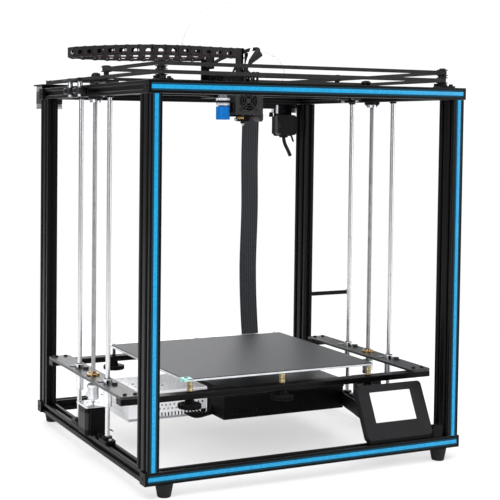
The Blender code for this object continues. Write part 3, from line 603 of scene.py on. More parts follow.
    def ride(self):
        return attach(self.done(), self.body)


def bridge(bm, a, b):
    """Quads, or a fan where one ring is a single point, between two rings."""
    if len(a) == 1 and len(b) == 1:
        return
    count = max(len(a), len(b))
    for i in range(count):
        j = (i + 1) % count
        if len(a) == 1:
            bm.faces.new((a[0], b[i], b[j]))
        elif len(b) == 1:
            bm.faces.new((a[i], a[j], b[0]))
        else:
            bm.faces.new((a[i], a[j], b[j], b[i]))


# ---------------------------------------------------------------- frame
def paint_node(name, paint, bevel=0.0):
    """A CAD node that stays: its material, with its edges eased."""
    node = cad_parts[name]
    node.data.materials.clear()
    node.data.materials.append(paint)
    weld = node.modifiers.new("weld", "WELD")
    weld.merge_threshold = 0.00002
    if bevel:
        eased = node.modifiers.new("eased", "BEVEL")
        eased.width = bevel * MM
        eased.segments = 2
        eased.limit_method = "ANGLE"
        eased.angle_limit = radians(40)


def paint_bars():
    """The slotted profiles keep their CAD shape, with a grain along their length."""
    for end in ENDS:
        for level in ("top", "bottom"):
            paint_node(f"{end}_{level}_bar", ANODISED["X"], 0.45)
        for side in SIDES:
            paint_node(f"{end}_{side}_post", ANODISED["Z"], 0.45)
    for side in SIDES:
        paint_node(f"{side}_bottom_bar", ANODISED["Y"], 0.45)
        paint_node(f"{side}_rail", ANODISED["Y"], 0.45)
    paint_node("gantry_beam", ANODISED["X"], 0.35)
    for end in ENDS:
        paint_node(f"bed_bar_{end}", ANODISED["X"], 0.2)


def slot_covers():
    """Blue strips with a shallow crown and edges painted dark blue as painted shade, snapped in the front
    slots.
    """
    crown = [(3.1, 0.38), (2.4, 0.54), (0.9, 0.66)]
    top = crown + [(-u, v) for u, v in reversed(crown)]
    strip = top + [(-2.6, -4.0), (2.6, -4.0)]
    edge = [(3.2, 0.34), (3.2, -0.8), (4.3, -0.8), (4.3, 0.03), (5.9, 0.03), (5.7, 0.24)]
    edges = [edge, [(-u, v) for u, v in edge]]
    for name in ("top", "bottom", "left", "right"):
        low, high = corner_box(f"slot_cover_{name}")
        middle = (low + high) / 2
        cover = Piece(f"cover_{name}", "frame", "blue_slot_cover", f"slot_cover_{name}")
        if name in ("top", "bottom"):
            path = [Vector((low.x, 0, middle.z)), Vector((high.x, 0, middle.z))]
        else:
            path = [Vector((middle.x, 0, low.z)), Vector((middle.x, 0, high.z))]
        outward = Vector((0, -1, 0))
        cover.sweep(path, strip, COVER_BLUE, outward)
        for section in edges:
            cover.sweep(path, section, COVER_PAINTED_SHADE_EDGE, outward)
        cover.ride()


def feet():
    """Four tapered rubber feet with a bolt up their hollow."""
    for name in ("front_left", "front_right", "rear_left", "rear_right"):
        low, high, x, y = upright_box(f"foot_{name}")
        foot = Piece(f"rubber_foot_{name}", "frame", "foot_rubber", f"foot_{name}")
        hollow, bolt_top = low.z + 5, low.z + 7.5
        profile = [(0, high.z), (13.2, high.z), (14, high.z - 0.8), (13.8, high.z - 3)]
        profile += [(10.7, low.z + 1.2), (9.8, low.z), (5.2, low.z), (5.0, hollow), (0, hollow)]
        foot.lathe(profile, (x, y, 0), RUBBER)
        bolt = [(0, bolt_top), (4.2, bolt_top), (4.2, low.z + 4), (0, low.z + 4)]
        foot.lathe(bolt, (x, y, 0), ZINC)
        foot.ride()


def frame_bolts():
    """Bolt heads on the posts' outer faces, where they run into the cross bars' ends."""
    bolts = Piece("frame_bolts", "frame", "motor_black")
    for z in (10.0, HEIGHT - 10.0):
        for x, axis in ((-CAP, "-X"), (WIDTH + CAP, "X")):
            for y in (10.0, DEPTH - 10.0):
                bolts.bolt((x, y, z), axis, 2.6, BLACK_BOLT, 0.8)
    bolts.ride()


# ---------------------------------------------------------------- bed lift
def guide_rods():
    """Four chromed rods that guide the bed, each with its holders."""
    for side in SIDES:
        for end in ENDS:
            name = f"guide_rod_{side}_{end}"
            low, high, x, y = upright_box(name)
            rod = Piece(f"chromed_{name}", "frame", "polished_rod", name)
            rod.rod((x, y, low.z), high.z - low.z, ROD_R, CHROME, count=40, bevel=0.6)
            rod.ride()
            rod_holder(f"rod_holder_{side}_{end}", x, y)


def rod_holder(name, x, y):
    """A clamp block at a guide rod's foot, and a plain collar at its top."""
    holder = Piece(name, "frame", "black_sheet_metal")
    flat = [round_rect((x - 9.6, y - 17), (x + 9.6, y + 17), 4), circle(ROD_R + 0.1, 28, (x, y))]
    holder.sheet(flat, BAR + 0.2, BAR + 5.5, POWDER)
    ring = [circle(8.2, 32, (x, y)), circle(ROD_R + 0.1, 28, (x, y))]
    holder.sheet(ring, BAR + 5.5, BAR + 10, POWDER)
    for dy in (-12.5, 12.5):
        holder.bolt((x, y + dy, BAR + 5.5), "Z", 2.8, ZINC)
    top = HEIGHT - BAR
    collar = [circle(6.2, 32, (x, y)), circle(ROD_R + 0.1, 28, (x, y))]
    holder.sheet(collar, top - 3.2, top - 0.3, BLACK_BOLT)
    holder.ride()


def thread_mesh(piece, x, y, low, high):
    """A four-start rolled thread, as a ridged tube."""
    pitch = SCREW_LEAD / SCREW_STARTS
    rings_per_pitch, count = 4, 16
    rows = round((high - low) / pitch * rings_per_pitch)
    bm = bmesh.new()
    rings = []
    for k in range(rows + 1):
        z = low + (high - low) * k / rows
        ring = []
        for i in range(count):
            turn = i / count
            phase = (z / pitch - turn * SCREW_STARTS) % 1.0
            ridge = min(1.0, max(0.0, 2.2 * (1 - abs(2 * phase - 1)) - 0.6))
            r = ROD_R - 0.85 + 0.85 * ridge
            angle = 2 * pi * turn
            ring.append(bm.verts.new((x + r * cos(angle), y + r * sin(angle), z)))
        rings.append(ring)
    for a, b in zip(rings, rings[1:]):
        bridge(bm, a, b)
    bm.faces.new(rings[0])
    bm.faces.new(rings[-1])
    piece.add(bm, THREAD)


def lead_screws():
    """Two screws, each with its slit coupler."""
    for side in SIDES:
        name = f"lead_screw_{side}"
        low, high, x, y = upright_box(name)
        screw = Piece(f"threaded_{name}", f"screw_{side}", "screw_steel", name)
        coupler_top = low.z + 26
        thread_mesh(screw, x, y, coupler_top - 4, high.z)
        profile = [(0, coupler_top), (9.2, coupler_top), (10, coupler_top - 0.8)]
        z = coupler_top - 6
        while z > low.z + 6:
            profile += [(10, z), (8.6, z), (8.6, z - 0.8), (10, z - 0.8)]
            z -= 2.4
        profile += [(10, low.z + 0.8), (9.2, low.z), (0, low.z)]
        screw.lathe(profile, (x, y, 0), SILVER)
        for z in (low.z + 3.2, coupler_top - 3.2):
            for axis, dx in (("X", 9.6), ("-X", -9.6)):
                screw.bolt((x + dx, y, z), axis, 1.9, BLACK_BOLT, 0.9)
        screw.ride()
        screw_bearing(side, x, y)


def screw_bearing(side, x, y):
    """A flanged pillow bearing under the side rail, at the top of a screw."""
    top = HEIGHT - BAR - 0.2
    bearing = Piece(f"screw_bearing_{side}", "frame", "screw_steel")
    outline = []
    for angle in range(0, 360, 10):
        c, s = cos(radians(angle)), sin(radians(angle))
        outline.append((x + 12 * c * (0.8 + 0.2 * abs(c)), y + (12 + 9 * abs(s)) * s))
    bearing.sheet([outline, circle(6, 28, (x, y))], top - 4.5, top, BLACK_BOLT)
    bearing.tube((x, y, 0), 4.3, 9.5, top - 10, top - 5, SILVER)
    for dy in (-16, 16):
        bearing.bolt((x, y + dy, top - 4.5), "-Z", 2.8, BLACK_BOLT)
    bearing.ride()


def stepper(piece, centre, low, high, axis="Z", shaft=0.0, caps=SILVER):
    """A stepper motor with cast end caps, a stacked core, corner screws, pilot and shaft."""
    half, cut = 21.1, 4.6
    core = [(half, half - cut), (half - cut, half)]
    body = []
    for turn in range(4):
        spin = Matrix.Rotation(pi / 2 * turn, 2)
        body += [tuple(spin @ Vector(p)) for p in core]
    rounder = [(x * 0.985, y * 0.985) for x, y in body]
    matrix = turned_to(centre, axis)
    height = high - low
    cap = min(10.0, height * 0.25)
    piece.sheet([rounder], low, low + cap, caps, matrix, 0.5)
    piece.sheet([body], low + cap, high - cap, LAMINATE, matrix, 0.4)
    piece.sheet([rounder], high - cap, high, caps, matrix, 0.5)
    ring = [(0, high + 2), (10.4, high + 2), (11, high + 1.4), (11, high - 1), (0, high - 1)]
    piece.lathe(ring, centre, SILVER, axis)
    if shaft:
        profile = [(0, shaft), (2.3, shaft), (2.5, shaft - 0.3), (2.5, high), (0, high)]
        piece.lathe(profile, centre, CHROME, axis)
    for dx, dy in four(15.5):
        piece.bolt(matrix @ Vector((dx, dy, high)), axis, 2.7, ZINC, 1.6)


def z_motors():
    """The motors that turn the lead screws."""
    for side in SIDES:
        name = f"z_motor_{side}"
        low, high, x, y = upright_box(name)
        top = high.z - 9.2
        motor = Piece(f"stepper_{name}", "frame", "motor_black", name)
        stepper(motor, (x, y, 0), low.z, top, shaft=high.z, caps=POWDER)
        inner = 1 if side == "left" else -1
        plug = x + 21 * inner
        left, right = sorted((plug, plug + 6 * inner))
        motor.box((left, y - 8, low.z + 1), (right, y + 8, low.z + 8), PLASTIC, 0.5)
        bow = plug + 16 * inner
        for i in range(4):
            row = y - 4.5 + 3 * i
            path = [(plug + 5 * inner, row, low.z + 4), (bow, row + 4, low.z - 2)]
            path += [(bow, y + 60, low.z - 8), (plug - 12 * inner, row + 140, low.z - 10)]
            motor.wire(path, 0.8, WIRE, 6, 8)
        motor.ride()
        z_motor_bracket(side, x, y, top)


def z_motor_bracket(side, x, y, top):
    """A folded bracket: a plate over the motor and two legs down to the side bar."""
    bracket = Piece(f"z_motor_bracket_{side}", "frame", "black_sheet_metal")
    half = 21.8
    plate = round_rect((x - half, y - half - 3), (x + half, y + half + 3), 3)
    bracket.sheet([plate, circle(11.6, 32, (x, y))], top + 0.1, top + 2.6, SILVER)
    for sy in (-1, 1):
        face = y + sy * (half + 0.3)
        front, back = sorted((face, face + 2.2 * sy))
        bracket.box((x - 14, front, BAR), (x + 14, back, top + 1), POWDER, 0.3)
        front, back = sorted((face, face + 14 * sy))
        bracket.box((x - 9.5, front, BAR + 0.1), (x + 9.5, back, BAR + 2.4), POWDER, 0.3)
        bracket.bolt((x, face + 8 * sy, BAR + 2.4), "Z", 3.4, BLACK_BOLT)
    bracket.ride()


def lift_plates():
    """The two plates that run on the rods and carry the cross bars."""
    for side in SIDES:
        name = f"lift_plate_{side}"
        low, high = corner_box(name)
        x = flip(ROD_X, side)
        plate = Piece(f"{name}_assembly", "bed", "black_anodised_profile", name)
        holes = [circle(5.6, 28, (x, SCREW_Y))]
        holes += [circle(7.8, 32, (x, SCREW_Y + dy)) for dy in (-ROD_PITCH, ROD_PITCH)]
        outline = round_rect((low.x, low.y), (high.x, high.y), 5)
        plate.sheet([outline] + holes, LIFT_LOW, LIFT_TOP, PLATE_GREY, None, 0.5)
        for dy in (-ROD_PITCH, ROD_PITCH):
            linear_bearing(plate, x, SCREW_Y + dy)
        brass_nut(plate, x)
        bolt_line = x + (2 if side == "left" else -2)
        for y in STUD_Y:
            for dx in (-9, 9):
                plate.bolt((bolt_line + dx, y, LIFT_TOP), "Z", 3.4, BLACK_BOLT, 2.6)
        plate.ride()


def linear_bearing(plate, x, y):
    """A ball bushing: a long sleeve through the plate with a slotted collar on top."""
    sleeve = [(4.25, 126.5), (7.0, 126.5), (7.5, 126), (7.5, 80.5), (7, 80), (4.25, 80)]
    plate.lathe(sleeve, (x, y, 0), SILVER, closed=True)
    plate.tube((x, y, 0), 4.15, 6.6, 126.2, 126.9, PLASTIC)
    # A dark pin on the sleeve's side stands for the collar's slot: painted shade.
    plate.rod((x - 3.0, y - 6.6, LIFT_TOP + 0.2), 6.4, 1.9, DEEP_BLACK_AND_SHADE, count=12)
    plate.rod((x - 6.6, y + 15.5, LIFT_TOP + 0.1), 1.4, 6.0, WASHER, count=24)
    plate.rod((x + 6.4, y - 15.5, LIFT_TOP + 0.1), 4.6, 4.8, PLATE_GREY, count=24)


def brass_nut(plate, x):
    """The lead screw's nut: a sleeve with a flange and four screws."""
    flange_top = 122.6
    plate.tube((x, SCREW_Y, 0), 4.3, 5.2, 108.5, 126, BRASS)
    flange = [circle(11, 36, (x, SCREW_Y)), circle(4.3, 28, (x, SCREW_Y))]
    plate.sheet(flange, LIFT_TOP + 0.1, flange_top, BRASS)
    for dx, dy in four(8 * sin(pi / 4)):
        plate.bolt((x + dx, SCREW_Y + dy, flange_top), "Z", 1.9, ZINC, 1.5)


def heated_bed():
    """The milled plate, the dark sheet it carries and a clip over the front left corner."""
    low, high = corner_box("heated_bed")
    bed = Piece("heated_plate", "bed", "bed_plate", "heated_bed")
    edge = low.x - 4.5
    step = high.z - 1.3
    bed.sheet([round_rect((edge, low.y), (high.x, high.y), 3)], low.z, step, MILLED, None, 0.3)
    sheet = round_rect((edge + 2, low.y + 1), (high.x - 1, SHEET_BACK), 3)
    bed.sheet([sheet], step, high.z, SHEET, None, 0.2)
    inset = 60
    under = (low.x + inset, low.y + inset, low.z - 1.0)
    bed.box(under, (high.x - inset, high.y - inset, low.z - 0.1), INSULATION, 0.3)
    clip_long, clip_t = 16, 0.8
    left, front, top = edge - clip_t, low.y - clip_t, high.z + clip_t
    bed.box((left, front, high.z), (left + clip_long, front + clip_long, top), CLIP_MINT, 0.3)
    bed.box((left, front, low.z), (edge, front + clip_long, top - 0.1), CLIP_MINT, 0.3)
    bed.box((left, front, low.z), (left + clip_long / 2, low.y, top - 0.1), CLIP_MINT, 0.3)
    bed.rod((left + 8, front + 9, high.z), 2.0, 3.4, CLIP_DARK, "Z", 0.3)
    bed.ride()
    bed_cable(high.y - 14, low.z)


def bed_cable(back, underside):
    """The heater's cable: it stretches from the controller to the underside of the bed."""
    cable = Piece("bed_cable", "bed", "black_plastic")
    x = HEAD_X + 62
    start = (x, 419, 55)
    end = (x, back - 16, underside - 4)
    rise, over = (x, back + 26, 92), (x, back + 12, underside - 7)
    cable.wire([start, (x, back + 22, 64), rise, over, end], 3.2, WIRE)
    made = cable.done()
    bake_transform(made)


def coil(x, y, low, high, radius, turns, count=22):
    """The path of a spring."""
    total = turns * count
    made = []
    for i in range(total + 1):
        angle = 2 * pi * i / count
        rise = low + (high - low) * i / total
        made.append(Vector((x + radius * cos(angle), y + radius * sin(angle), rise)))
    return made


def levelling():
    """A spring round each stud, and a ribbed hand nut under the cross bar."""
    springs = Piece("level_springs", "bed", "bed_plate")
    for end, y in zip(ENDS, STUD_Y):
        for name, x in zip(("left", "middle", "right"), STUD_X):
            if end == "front":
                radius, turns, gauge, paint, stud_top = 4.4, 6, 0.85, SPRING_GOLD, 136.7
            else:
                radius, turns, gauge, paint, stud_top = 2.8, 8, 0.6, BLACK_BOLT, 135.4
            springs.sweep(coil(x, y, 115.2, 130.8, radius, turns), circle(gauge, 8), paint)
            springs.tube((x, y, 0), 2.3, 5.0, 114.2, 115, BLACK_BOLT)
            springs.rod((x, y, stud_top), 0.3, 2.6, PLATE_GREY)
            knob(f"{end}_{name}", x, y)
    springs.ride()


def knob(name, x, y):
    """A ribbed hand nut with its hub, brass insert and threaded stud."""
    made = Piece(f"hand_nut_{name}", f"knob_{name}", "black_plastic", f"level_knob_{name}")
    low, high, stud_low = 88.2, 95.2, 102.9
    made.sheet([ribbed_circle(x, y, 19.0, 0.9, 180)], low, high, PLASTIC, None, 0.5)
    hub = [(0, 102.4), (6.6, 102.4), (7.5, 101.6), (8.6, high), (14, 95.6), (14, 94.8), (0, 94.8)]
    made.lathe(hub, (x, y, 0), PLASTIC)
    made.lathe([(0, 86.9), (5.4, 86.9), (5, low), (0, low)], (x, y, 0), BRASS)
    stud = ridges(131.6, 103.0, 1.65, 2.0, 0.7) + [(1.65, stud_low), (0, stud_low)]
    made.lathe(stud, (x, y, 0), ZINC, count=16)
    made.ride()


# ---------------------------------------------------------------- gantry
def carriages():
    """The plates at both ends of the beam, on four wheels each."""
    for side in SIDES:
        name = f"carriage_{side}"
        plate = Piece(f"{name}_assembly", "gantry", "black_sheet_metal", name)
        outline = carriage_outline()
        holes = [circle(2.6, 16, (47, y)) for y in (262, 334)] + [circle(5, 24, (8, 298))]
        loops = [[(flip(x, side), y) for x, y in loop] for loop in [outline] + holes]
        plate.sheet(loops, PLATE_LOW, PLATE_TOP, POWDER, None, 0.35)
        outer, inner = flip(-10.75, side), flip(30.75, side)
        for y in WHEEL_Y:
            wheel_axle(plate, outer, y, False)
            wheel_axle(plate, inner, y, True)
            v_wheel(plate, inner, y)
        near, far = (UPPER_BELT, LOWER_BELT) if side == "left" else (LOWER_BELT, UPPER_BELT)
        belt_roller(plate, flip(IDLER_X, side), NEAR_IDLER_Y, near)
        cap_r, cap_t = (8.2, 6.6) if side == "left" else (7.0, 3.6)
        belt_roller(plate, flip(IDLER_IN_X, side), FAR_IDLER_Y, far, cap_r, cap_t)
        for x in (50.0, 58.0):
            plate.bolt((flip(x, side), 298, PLATE_TOP), "Z", 3.6, ZINC)
        if side == "left":
            limit_switch(plate)
        plate.ride()
        for end, y in zip(ENDS, WHEEL_Y):
            node = f"wheel_{side}_{end}"
            wheel = Piece(f"grooved_{node}", f"{node}_body", "black_plastic", node)
            v_wheel(wheel, outer, y)
            wheel.ride()


def carriage_outline():
    """The left carriage plate, seen from above: two narrow arms to the outer wheels."""
    front = [(-22, 264), (-20, 260), (2, 242), (6, 241), (44, 241), (48, 243), (61, 273), (62, 278)]
    back = [(62, 318), (61, 323), (48, 343), (44, 345), (22, 345), (18, 344), (-20, 336), (-22, 332)]
    return front + back


def v_wheel(piece, x, y):
    """A moulded wheel whose tapered rim runs in the rail's slot, on a small ball bearing."""
    z = HEIGHT - BAR / 2
    rim = [(8.2, 5.5), (9.5, 5.5), (12.0, 3.0), (12.2, 2.6), (12.2, 0.7), (11.6, 0.4)]
    piece.even_ring(rim, (x, y, z), WHEEL_PLASTIC)
    for face in (1, -1):
        piece.tube((x, y, z), 3.0, 7.9, face, 4.6 * face, SILVER, 28)


def wheel_axle(piece, x, y, eccentric):
    """Bolt, spacer and nut: a round spacer on the fixed wheels and a hex one on the adjusted."""
    if eccentric:
        piece.rod((x, y, 613.0), PLATE_LOW - 612.9, 5.2, SILVER, "Z", 0.4, 6)
    else:
        piece.rod((x, y, 612.8), PLATE_LOW - 612.7, 4.6, SILVER)
    piece.rod((x, y, 600.0), 24, 2.5, ZINC, count=16)
    piece.nut((x, y, 597.2), "Z", 4.4, 4.0)
    piece.bolt((x, y, PLATE_TOP), "Z", 4.2, BLACK_BOLT, 3.6)


def belt_roller(piece, x, y, z, cap_r=8.0, cap_t=2.6):
    """A flanged roller on a shouldered bolt, under a domed cap."""
    half = 4.4
    piece.rod((x, y, PLATE_TOP - 0.5), z - half - PLATE_TOP + 0.5, 4.6, BLACK_BOLT, count=20)
    flange = [(2.6, half), (8.6, half), (9.2, half - 0.4), (9.2, 3.1), (5.3, 3.05)]
    piece.even_ring(flange, (x, y, z), BLACK_BOLT, 32)
    dome = [(0, 0), (cap_r, 0), (cap_r, cap_t * 0.45), (cap_r * 0.8, cap_t * 0.8)]
    dome += [(cap_r * 0.45, cap_t), (0, cap_t)]
    piece.lathe(dome, (x, y, z + half), BLACK_BOLT, count=24)


def limit_switch(plate):
    """A small lever switch under the left carriage."""
    plate.box((36, 338, 612), (56, 344, 622.9), PLASTIC, 0.4)
    plate.box((38, 344, 614), (54, 344.6, 621), ZINC, 0.1)


def corner_rollers():
    """Two stacked belt rollers on a bracket at each front corner."""
    for side in SIDES:
        x = flip(IDLER_X, side)
        stack = Piece(f"corner_rollers_{side}", "frame", "black_sheet_metal")
        foot = [round_rect((x - 11, 1), (x + 11, 36), 3)]
        stack.sheet(foot, HEIGHT + 0.2, HEIGHT + 3, POWDER)
        stack.rod((x, FRONT_IDLER_Y, HEIGHT + 2), 30, 2.5, ZINC, count=16)
        stand = LOWER_BELT - 5.1 - HEIGHT - 3
        stack.rod((x, FRONT_IDLER_Y, HEIGHT + 3), stand, 7.4, POWDER, count=24)
        flange = [(2.6, 5.0), (9.2, 5.0), (9.6, 4.6), (9.6, 3.7), (5.3, 3.3)]
        for z in (LOWER_BELT, UPPER_BELT):
            stack.even_ring(flange, (x, FRONT_IDLER_Y, z), BLACK_BOLT, 32)
        stack.rod((x, FRONT_IDLER_Y, LOWER_BELT + 4.8), 3.2, 7.2, BLACK_BOLT, count=24)
        stack.bolt((x, FRONT_IDLER_Y, UPPER_BELT + 5.0), "Z", 5.4, BLACK_BOLT, 2.2)
        rear = FRONT_IDLER_Y + 12
        stack.box((x - 8.5, rear - 8, HEIGHT + 2), (x + 8.5, rear, LOWER_BELT - 5.4), POWDER, 0.6)
        for dx in (-6, 6):
            stack.bolt((x + dx, 8, HEIGHT + 3), "Z", 3.4, BLACK_BOLT)
        stack.ride()


def xy_motors():
    """The belt motors behind the rear corners, on their folded plates."""
    for side, belt in (("left", LOWER_BELT), ("right", UPPER_BELT)):
        name = f"xy_motor_{side}"
        low, high = corner_box(name)
        x = flip(IDLER_X, side)
        motor = Piece(f"stepper_{name}", "frame", "motor_black", name)
        stepper(motor, (x, XY_MOTOR_Y, 0), low.z, PLATE_LOW - 0.2, shaft=high.z)
        left, right, back = x - 26, x + 26, DEPTH + 0.4
        plate = [round_rect((left, back), (right, 569.5), 4), circle(11.4, 32, (x, XY_MOTOR_Y))]
        motor.sheet(plate, PLATE_LOW, PLATE_TOP, POWDER, None, 0.4)
        motor.box((left, back, HEIGHT - BAR), (right, DEPTH + 3, PLATE_TOP - 0.2), POWDER, 0.5)
        for dx in (-18, 18):
            motor.bolt((x + dx, DEPTH + 3, HEIGHT - 10), "Y", 3.6, BLACK_BOLT)
        toothed_pulley(motor, x, XY_MOTOR_Y, belt)
        motor.box((x - 8, XY_MOTOR_Y + 20, low.z + 1), (x + 8, 574.0, low.z + 8), NYLON, 0.5)
        lead = [(x, 572, low.z + 3), (x, 570, low.z - 14)]
        lead += [(x + 3, 540, low.z - 30), (x + 4, 518, low.z - 60)]
        motor.wire(lead, 2.0, WIRE)
        motor.ride()


def toothed_pulley(piece, x, y, z):
    """A belt pulley with twenty teeth between two flanges, and a hub with a set screw."""
    piece.sheet([ribbed_circle(x, y, 5.6, 0.45, 160)], z - 3.6, z + 3.6, SILVER, None, 0)
    for low, high in ((z + 3.5, z + 4.4), (z - 4.4, z - 3.5)):
        piece.sheet([circle(7.6, 32, (x, y))], low, high, SILVER, None, 0.15)
    if z == UPPER_BELT:
        piece.rod((x, y, PLATE_TOP + 0.5), z - 4.4 - PLATE_TOP - 0.5, 7.4, SILVER)


def belt_section(i):
    """The belt's section at one station: every other millimetre carries a tooth inside."""
    inner = -1.25 if i % 2 else -0.55
    return [(-0.62, 3.0), (-0.62, -3.0), (-inner, -3.0), (-inner, 3.0)]


def arc_path(x, y, start, turn, steps=8):
    """A belt's bend round a roller, over the given turn in degrees."""
    made = []
    for i in range(steps + 1):
        angle = radians(start + turn * i / steps)
        made.append(Vector((x, y, 0)) + Vector((cos(angle), sin(angle), 0)) * BELT_BEND_R)
    return made


def belt_runs(mirror, z):
    """The lower belt's runs, from head clamp to head clamp, or their mirror image for the upper belt."""
    far = flip(IDLER_X, "right")
    near_bend = arc_path(far, NEAR_IDLER_Y, 90, -90)
    loop = arc_path(far, FRONT_IDLER_Y, 0, -90) + arc_path(IDLER_X, FRONT_IDLER_Y, 270, -90)
    motor_bend = arc_path(IDLER_X, XY_MOTOR_Y, 180, -180, 16)
    far_bend = arc_path(IDLER_IN_X, FAR_IDLER_Y, 180, 90)
    first = Vector((HEAD_X + CLAMP_X, NEAR_IDLER_Y + BELT_BEND_R, 0))
    last = Vector((HEAD_X - CLAMP_X, FAR_IDLER_Y - BELT_BEND_R, 0))
    runs = {
        "near": [first] + near_bend,
        "right": [near_bend[-1], Vector((far + BELT_BEND_R, FRONT_IDLER_Y, 0))],
        "front": loop + motor_bend,
        "back": [motor_bend[-1], Vector((IDLER_IN_X - BELT_BEND_R, FAR_IDLER_Y, 0))],
        "far": far_bend + [last],
    }
    for run, points in runs.items():
        runs[run] = [Vector((WIDTH - p.x if mirror else p.x, p.y, z)) for p in points]
    return runs


def belts():
    """Both toothed belts, cut into runs: four runs of each are left unattached and the front run rides on
    the frame.
    """
    for name, mirror, z in (("lower", False, LOWER_BELT), ("upper", True, UPPER_BELT)):
        side = -1 if mirror else 1
        stretches = {
            "right": ("frame", "gantry", (0, FRONT_IDLER_Y), (0, NEAR_IDLER_Y)),
            "back": ("frame", "gantry", (0, XY_MOTOR_Y), (0, FAR_IDLER_Y)),
            "near": ("gantry", "head", (HEAD_X + 264 * side, 0), (HEAD_X + CLAMP_X * side, 0)),
            "far": ("gantry", "head", (HEAD_X - 252 * side, 0), (HEAD_X - CLAMP_X * side, 0)),
        }
        for run, points in belt_runs(mirror, z).items():
            belt = Piece(f"belt_{name}_{run}", "frame", "belt_rubber")
            if name == "lower" and run == "near":
                belt.nodes = ("drive_belts",)
            belt.sweep(even_path(points, BELT_PITCH / 2), belt_section, BELT, UP)
            if run in stretches:
                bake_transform(belt.done())
            else:
                belt.ride()


# ---------------------------------------------------------------- print head
def head_carriage():
    """The plate that runs on the beam, with the drop plate in front of it."""
    head = Piece("head_carriage_assembly", "head", "black_sheet_metal", "head_carriage")
    x0, x1 = 262.0, 322.0
    plate = [round_rect((x0, 262), (x1, 334), 4)]
    plate += [circle(2.4, 16, (x, y)) for x in (284, 300) for y in (290, 306)]
    head.sheet(plate, PLATE_LOW, PLATE_TOP, POWDER, None, 0.4)
    for x in (272.0, 312.0):
        for y in (277.25, 318.75):
            head_wheel(head, x, y)
    head.box((x0, 261, 566), (x1, 263.4, PLATE_TOP - 0.3), POWDER, 0.5)
    for x in (268.0, 316.0):
        head.bolt((x, 261, 618), "-Y", 2.8, ZINC, 1.8)
    probe(head)
    belt_clamps(head)
    head.ride()
    head_wiring()


def head_wheel(head, x, y):
    """One of the four small wheels that hold the head to the beam."""
    z = 613.0
    head.even_ring([(6.5, 4.4), (8.3, 4.4), (9.9, 2.6)], (x, y, z), WHEEL_PLASTIC, 28)
    head.tube((x, y, z), 2.4, 6.4, -3.6, 3.6, SILVER, 24)
    head.rod((x, y, z + 4.4), PLATE_LOW - z - 4.3, 4.2, SILVER, "Z", 0.3, 6)
    head.rod((x, y, z - 8), 28, 2.4, ZINC, count=14)
    head.nut((x, y, z - 9), "Z", 4.2, 3.6)
    head.nut((x, y, PLATE_TOP), "Z", 4.4, 3.4, BLACK_BOLT)
    head.bolt((x, y, PLATE_TOP + 3.2), "Z", 4.2, BLACK_BOLT, 4.4)


def probe(head):
    """The height probe: blue cap, threaded barrel, two nuts and the arm that holds it."""
    x, y = 247.0, 240.0
    arm = [round_rect((x - 14, y - 14), (261, y + 14), 3), circle(8.8, 28, (x, y))]
    head.sheet(arm, 590.5, 593.5, POWDER, None, 0.4)
    head.box((260.2, y - 14, 572), (262.4, 262, 593.5), POWDER, 0.4)
    head.box((251.6, 248, 590.5), (264, 264, 593.5), POWDER, 0.4)
    cap = [(0, 583.6), (12, 583.6), (12.4, 583.0), (12.4, 561), (11.6, 560.2), (0, 560.2)]
    head.lathe(cap, (x, y, 0), PROBE_BLUE)
    barrel = ridges(606.0, 585.0, 8.3, 8.9, 1.0) + [(8.3, 583.8), (0, 583.8)]
    head.lathe(barrel, (x, y, 0), THREAD)
    head.rod((x, y, 585.4), 4.8, 12.6, NYLON, "Z", 0.6, 6)
    head.rod((x, y, 593.8), 4.4, 12.6, NYLON, "Z", 0.6, 6)
    lead = [(x, y, 604), (x + 1, y + 2, 616), (x + 12, y + 12, 628)]
    lead += [(x + 30, y + 30, 636), (x + 44, y + 38, 656)]
    head.wire(lead, 2.0, WIRE)


def belt_clamps(head):
    """Ribbed blocks that grip both belts' ends, and the bolts that pull them tight."""
    for y in (NEAR_IDLER_Y + BELT_BEND_R, FAR_IDLER_Y - BELT_BEND_R):
        foot = PLATE_TOP - 0.3
        head.box((HEAD_X - 31, y - 4.5, foot), (HEAD_X + 8, y + 4.5, 643), PLASTIC, 0.7)
        for i in range(7):
            x = HEAD_X - 28 + 5.2 * i
            head.box((x - 0.8, y - 5.2, 627), (x + 0.8, y + 5.2, 642.4), PLASTIC, 0.2)
        for x in (HEAD_X + 15, HEAD_X + 25, HEAD_X + 33):
            head.rod((x, y, PLATE_TOP - 0.4), 20, 2.3, BLACK_BOLT, count=16)
            head.bolt((x, y, 645), "Z", 3.2, BLACK_BOLT, 2.6)
        head.box((HEAD_X + 8, y - 4, foot), (HEAD_X + 37, y + 4, 628.6), PLASTIC, 0.5)
    head.box((270, 256, PLATE_TOP - 0.5), (286, 266, 628.5), POWDER, 0.4)


